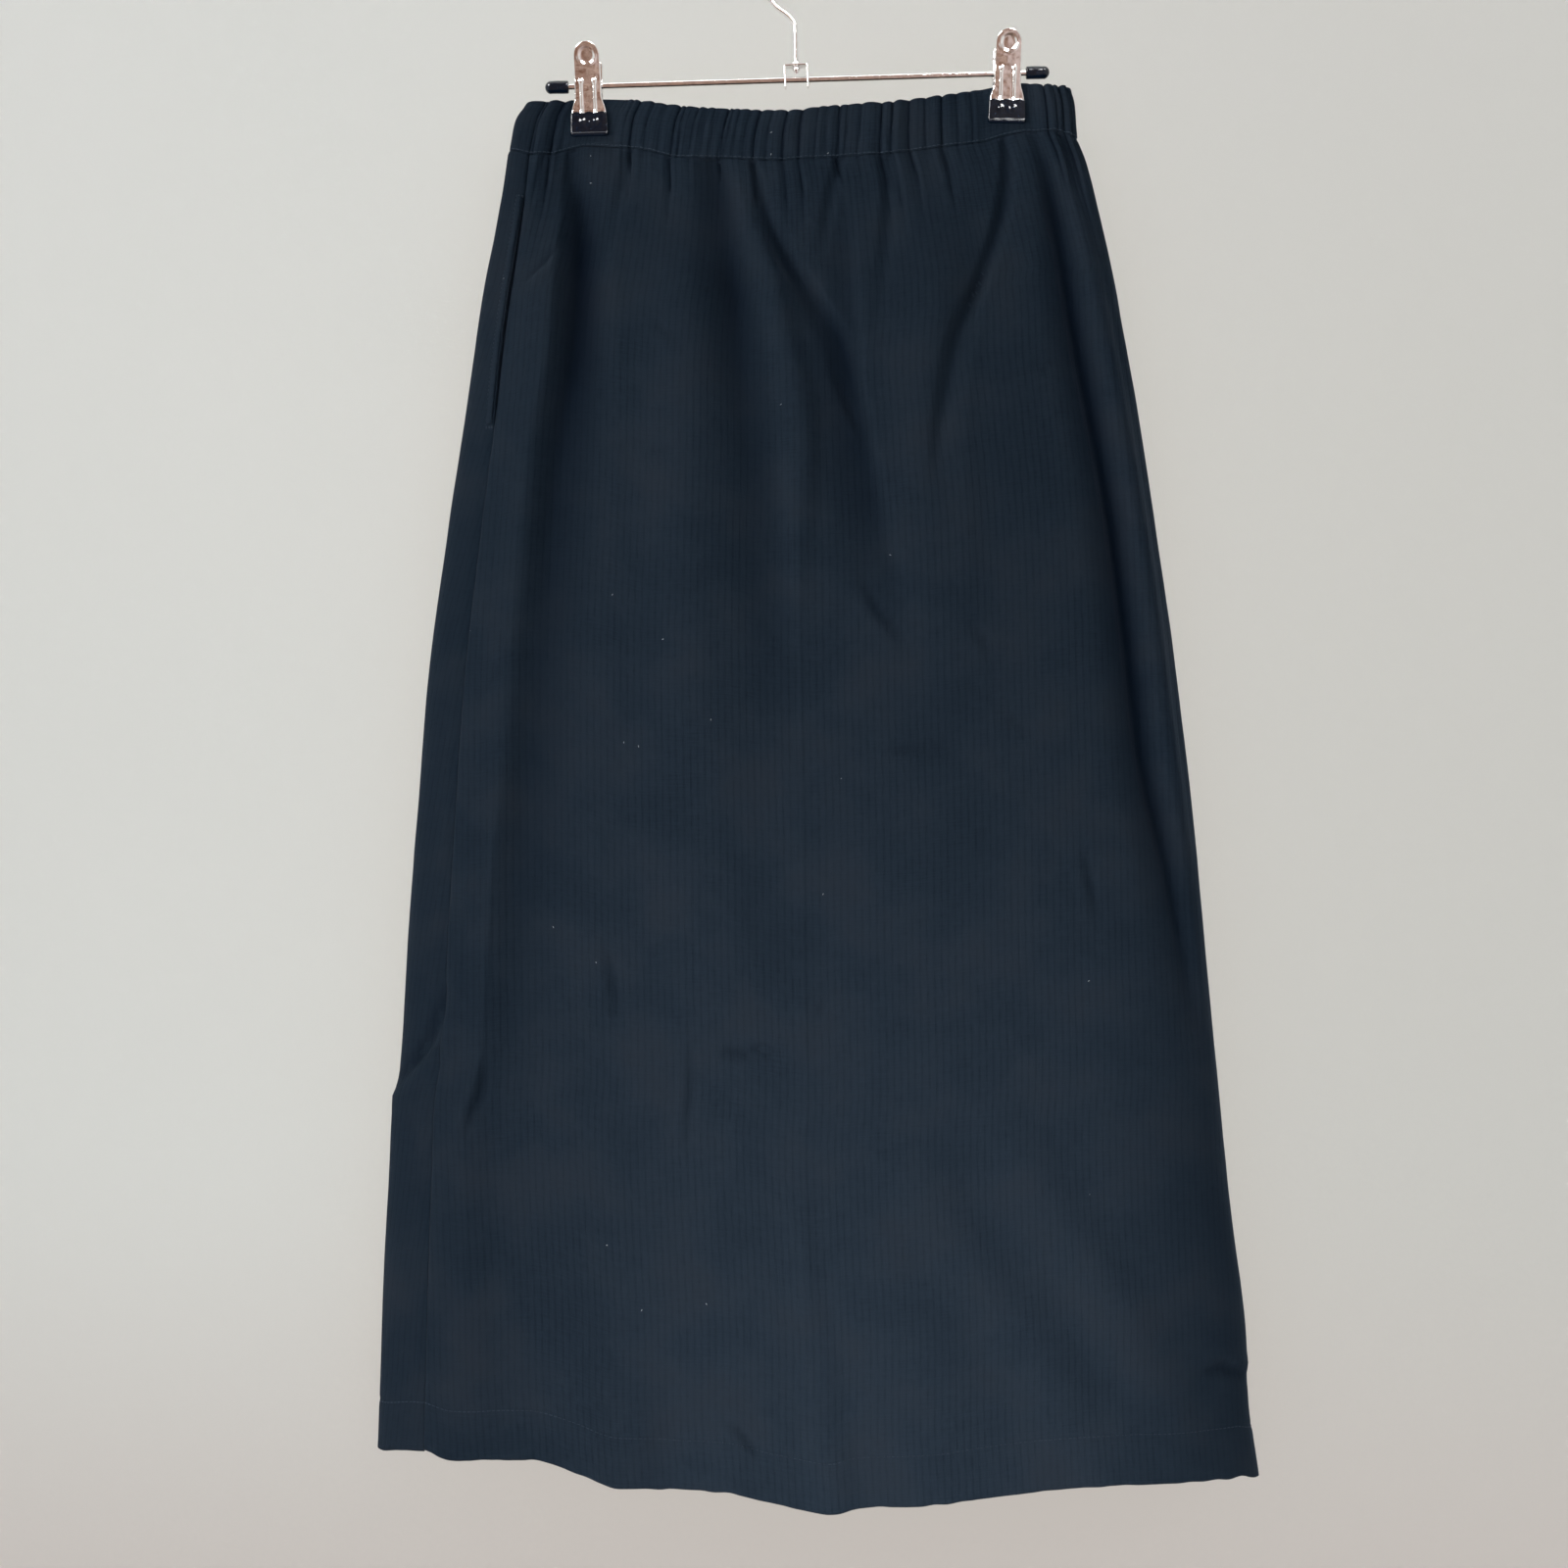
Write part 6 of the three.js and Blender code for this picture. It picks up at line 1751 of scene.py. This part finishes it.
@dataclass
class HangerHook:
    """The swivel hook of bent wire, and the strap that holds it on the rod."""

    wire: float = 1.5
    radius: float = 22.5
    strap_half: float = 7.2
    strap_width: float = 6.6
    strap_thick: float = 1.0
    strap_top: float = -78.7
    strap_foot: float = -92.3
    strap_tilt: float = 3.0
    strap_x: float = 0.5

    def strap(self) -> Solid:
        """A flat strap bent into a U over the rod, with rounded bends and edges."""
        bend, half, top = 1.3, self.strap_half, self.strap_top - ROD_Z
        foot = self.strap_foot - ROD_Z
        corner = np.radians(np.linspace(180, 90, 8))
        left = np.stack([-half + bend + bend * np.cos(corner), top - bend + bend * np.sin(corner)], -1)
        path = np.concatenate([[[-half, foot], [-half, foot + 2], [-half, 0]], left,
                               [[-2.5, top], [0, top], [2.5, top]], (left * [-1, 1])[::-1],
                               [[half, 0], [half, foot + 2], [half, foot]]])
        tangent = unit(np.gradient(path, axis=0))
        across = np.stack([-tangent[:, 1], tangent[:, 0]], -1)
        w, t, r = self.strap_width / 2, self.strap_thick / 2, 0.22
        section = [(-w + r, -t), (w - r, -t), (w, -t + r), (w, t - r), (w - r, t), (-w + r, t), (-w, t - r),
                   (-w, -t + r)]
        points = np.concatenate([[[p[0] + a[0] * v, u, p[1] + a[1] * v] for u, v in section]
                                 for p, a in zip(path, across)])
        return turned(points, -self.strap_tilt, self.strap_x, ROD_Z), tube_faces(len(path), len(section))

    @staticmethod
    def upright(points: Array) -> Array:
        """Points of a turned solid stood on end."""
        return points[:, [1, 2, 0]]

    def wire_path(self) -> Array:
        """Centre line of the wire: up from the strap, out to the left, then round over the top."""
        turn = np.radians(np.linspace(223.8, -24, 25))
        over = [(self.radius * math.cos(a), 0.0, self.wire - self.radius + self.radius * math.sin(a))
                for a in turn]
        stem = [(0.3, 0, -82.3), (0, 0, -70), (-0.2, 0, -58), (-1.2, 0, -51.2), (-5.6, 0, -46),
                (-11.9, 0, -41.5)]
        return curve_through([*stem, *over])

    def build(self, chrome: Material) -> None:
        """Makes the strap with its collar, and the wire with its riveted foot."""
        strap = MeshDraft("hook_saddle_strap")
        strap.add(*self.strap())
        collar = [(-78.1, 1.7), (-78.1, 2.7), (-77.9, 2.95), (-76.6, 2.95), (-76.35, 2.75), (-75.6, 2.1),
                  (-75.45, 1.7)]
        points, faces = lathe(collar, 32)
        strap.add(self.upright(points), faces)
        strap.build(chrome, "steel", ["hook_saddle"], 50)
        hook = MeshDraft("hook_wire")
        hook.add(*sweep(self.wire_path(), self.wire, 24))
        rivet = [(-82.5, 0.5), (-82.4, 1.2), (-82.0, 2.0), (-81.4, 2.4), (-80.8, 2.5), (-80.5, 2.3),
                 (-80.4, 1.6)]
        points, faces = lathe(rivet, 28)
        hook.add(self.upright(points) + [0.3, 0, 0], faces)
        hook.build(chrome, "steel", ["hook"], 50)


# Studio

@dataclass(frozen=True)
class SoftLight:
    """A soft light: where it stands and looks, its size in metres, its power in watts and its colour."""

    name: str
    place: Point
    aim: Point
    size: tuple[float, float]
    power: float
    colour: Colour

    def build(self) -> Object:
        """Adds the light, out of sight of the camera and of mirrors."""
        lamp = bpy.data.lights.new(self.name, "AREA")
        lamp.shape = "RECTANGLE"
        lamp.size, lamp.size_y = self.size
        lamp.energy = self.power
        lamp.color = self.colour
        holder = bpy.data.objects.new(self.name, lamp)
        bpy.context.scene.collection.objects.link(holder)
        holder.location = self.place
        holder.rotation_mode = "QUATERNION"
        holder.rotation_quaternion = (Vector(self.aim) - Vector(self.place)).to_track_quat("-Z", "Y")
        holder.visible_camera = False
        holder.visible_glossy = False
        return holder


KEY_LEFT = SoftLight("key_left", (-3.3, -2.75, -0.9), (0, 0, -0.55), (2.0, 2.0), 172, (1.0, 0.96, 0.935))
LOW_FRONT = SoftLight("low_front", (0.2, -1.1, -1.14), (0.13, 0, -0.93), (0.7, 0.3), 10.0, (1.0, 0.95, 0.93))
WALL_WASH = SoftLight("wall_wash", (0, -4.0, -0.5), (0, 0, -0.5), (4.0, 3.0), 171, (1.0, 0.917, 0.85))
BACK_FILL = SoftLight("back_fill", (2.9, 2.3, -0.3), (0, 0, -0.5), (1.8, 1.8), 180, (1.0, 0.98, 0.96))

# Each backdrop's second and third colours are painted shade to the right and near the floor.
WALL_PAINT = PlasterFinish("wall_paint", (0.70, 0.71, 0.69), (0.613, 0.612, 0.588), (0.595, 0.553, 0.527))
FLOOR_PAINT = PlasterFinish("floor_paint", (0.72, 0.71, 0.70), (0.70, 0.69, 0.68), (0.68, 0.66, 0.65))


@dataclass
class Studio:
    """A pale wall just behind the skirt, a pale floor, soft lights and the camera."""

    eye: Point = (-0.0075, -1.25, -0.5366)
    lens: float = 45.0
    wall_y: float = 0.045
    floor_z: float = -1.22
    daylight: float = 0.17
    far_wall: Colour = (0.58, 0.58, 0.56)
    lamps: tuple[Point, ...] = ((-0.75, -0.75, 0.55), (0.35, -0.75, 0.7))
    lamp_glow: float = 40.0

    def plane(self, name: str, corners: Sequence[Point], finish: PlasterFinish) -> Object:
        """Makes a flat backdrop."""
        mesh = bpy.data.meshes.new(name)
        mesh.from_pydata(list(corners), [], [(0, 1, 2, 3)])
        mesh.materials.append(finish.build())
        board = bpy.data.objects.new(name, mesh)
        bpy.context.scene.collection.objects.link(board)
        board.visible_shadow = False
        return board

    @staticmethod
    def linked(name: str, boards: Sequence[Object], state: str) -> Collection:
        """A list of the backdrop's boards that a light is linked to, or kept off."""
        group = bpy.data.collections.new(name)
        for board in boards:
            group.objects.link(board)
        for entry in group.collection_objects:
            entry.light_linking.link_state = state
        return group

    def room(self) -> World:
        """Even daylight for matt surfaces, and a warm room with pale sides for polished ones to mirror."""
        world = bpy.data.worlds.new("soft_daylight")
        world.use_nodes = True
        g = Graph(world.node_tree)
        way = g.add("TexCoord").outputs["Generated"]
        split = g.add("SeparateXYZ", {0: way})
        sideways = g.math("ABSOLUTE", split.outputs[0])
        patches = g.ramp(g.noise(way, 5.0, 3, 0.6), 0.35, 0.65)
        warm = g.blend(patches, (0.21, 0.10, 0.065, 1), (0.54, 0.39, 0.32, 1))
        front = g.blend(g.ramp(split.outputs[0], 0.0, 0.2), warm, (0.66, 0.52, 0.48, 1))
        sides = g.blend(g.ramp(sideways, 0.45, 0.75), front, (0.82, 0.82, 0.80, 1))
        pale = g.blend(g.ramp(split.outputs[2], 0.82, 0.94), sides, (1.15, 1.17, 1.2, 1))
        above = g.blend(g.ramp(split.outputs[2], 0.95, 0.98), pale, (4.0, 4.05, 4.1, 1))
        below = g.blend(g.ramp(g.math("MULTIPLY", split.outputs[2], -1.0), 0.62, 0.95), above,
                        (0.16, 0.11, 0.085, 1))
        seen = below
        for lamp in self.lamps:
            toward = tuple(Vector(lamp).normalized())
            facing = g.add("VectorMath", {0: way, 1: toward}, operation="DOT_PRODUCT").outputs[1]
            seen = g.blend(g.ramp(facing, 0.968, 0.98), seen, paint((1, 1, 1), self.lamp_glow))
        daylight = g.add("Background", {0: (0.50, 0.88, 1.12, 1), 1: self.daylight})
        mirrored = g.add("Background", {0: seen, 1: 1.0})
        far = g.add("Background", {0: paint(self.far_wall), 1: 1.0})
        ray = g.add("LightPath")
        lit = g.add("MixShader", {0: ray.outputs["Is Glossy Ray"], 1: daylight.outputs[0],
                                  2: mirrored.outputs[0]})
        seen = g.add("MixShader", {0: ray.outputs["Is Camera Ray"], 1: lit.outputs[0], 2: far.outputs[0]})
        g.add("OutputWorld", {0: seen.outputs[0]})
        return world

    def build(self) -> None:
        """Sets up the backdrop, the lights, the world and the camera."""
        y, z = self.wall_y, self.floor_z
        wall = self.plane("wall", [(-4, y, z), (4, y, z), (4, y, 3), (-4, y, 3)], WALL_PAINT)
        floor = self.plane("floor", [(-4, -5, z), (4, -5, z), (4, 5, z), (-4, 5, z)], FLOOR_PAINT)
        floor.visible_glossy = False
        floor.visible_diffuse = False
        key, low, wash, _ = [light.build() for light in (KEY_LEFT, LOW_FRONT, WALL_WASH, BACK_FILL)]
        key.light_linking.receiver_collection = self.linked("kept_off_backdrop", [wall], "EXCLUDE")
        low.light_linking.receiver_collection = self.linked("kept_off_stage", [wall, floor], "EXCLUDE")
        wash.light_linking.receiver_collection = self.linked("lit_backdrop", [wall], "INCLUDE")
        wash.light_linking.blocker_collection = self.linked("shading_backdrop", [floor], "INCLUDE")
        bpy.context.scene.world = self.room()
        bpy.context.scene.view_settings.view_transform = "Standard"
        data = bpy.data.cameras.new("camera")
        data.lens, data.sensor_width = self.lens, 36.0
        camera = bpy.data.objects.new("camera", data)
        camera.location = self.eye
        camera.rotation_euler = (math.radians(90), 0, 0)
        bpy.context.scene.collection.objects.link(camera)
        bpy.context.scene.camera = camera


def main() -> None:
    """Builds the hanger, the skirt, its sewing and lint, and the studio, in that order."""
    logging.basicConfig(level=logging.INFO, format="%(message)s")
    form = SkirtForm()
    cloth = ClothFinish().build()
    lining = ClothFinish("pouch_cloth", dark=(0.006, 0.009, 0.014), light=(0.014, 0.019, 0.027),
                         faded=(0.013, 0.016, 0.022), painted_lower_light=0.0, stripe_depth=0.0).build()
    thread = ThreadFinish().build()
    pale = ThreadFinish("pale_lint", (0.36, 0.38, 0.38), 900.0).build()
    chrome = ChromeFinish().build()
    vinyl = VinylFinish().build()
    for clip in (SkirtClip("left", -132.0, -1.76, 0.7), SkirtClip("right", 134.5, 1.0, 1.1)):
        clip.build(chrome, vinyl)
    HangerRod().build(chrome, vinyl)
    HangerHook().build(chrome)
    for face in Face:
        Casing(form, face).build(cloth)
        ClothPanel(form, face).build(cloth)
    pocket = SidePocket(form)
    pocket.band(cloth)
    pocket.pouch(lining)
    Stitching(form).build(thread)
    LooseLint(form).build(pale)
    Studio().build()
    log.info("pieces done")


if __name__ == "__main__":
    main()
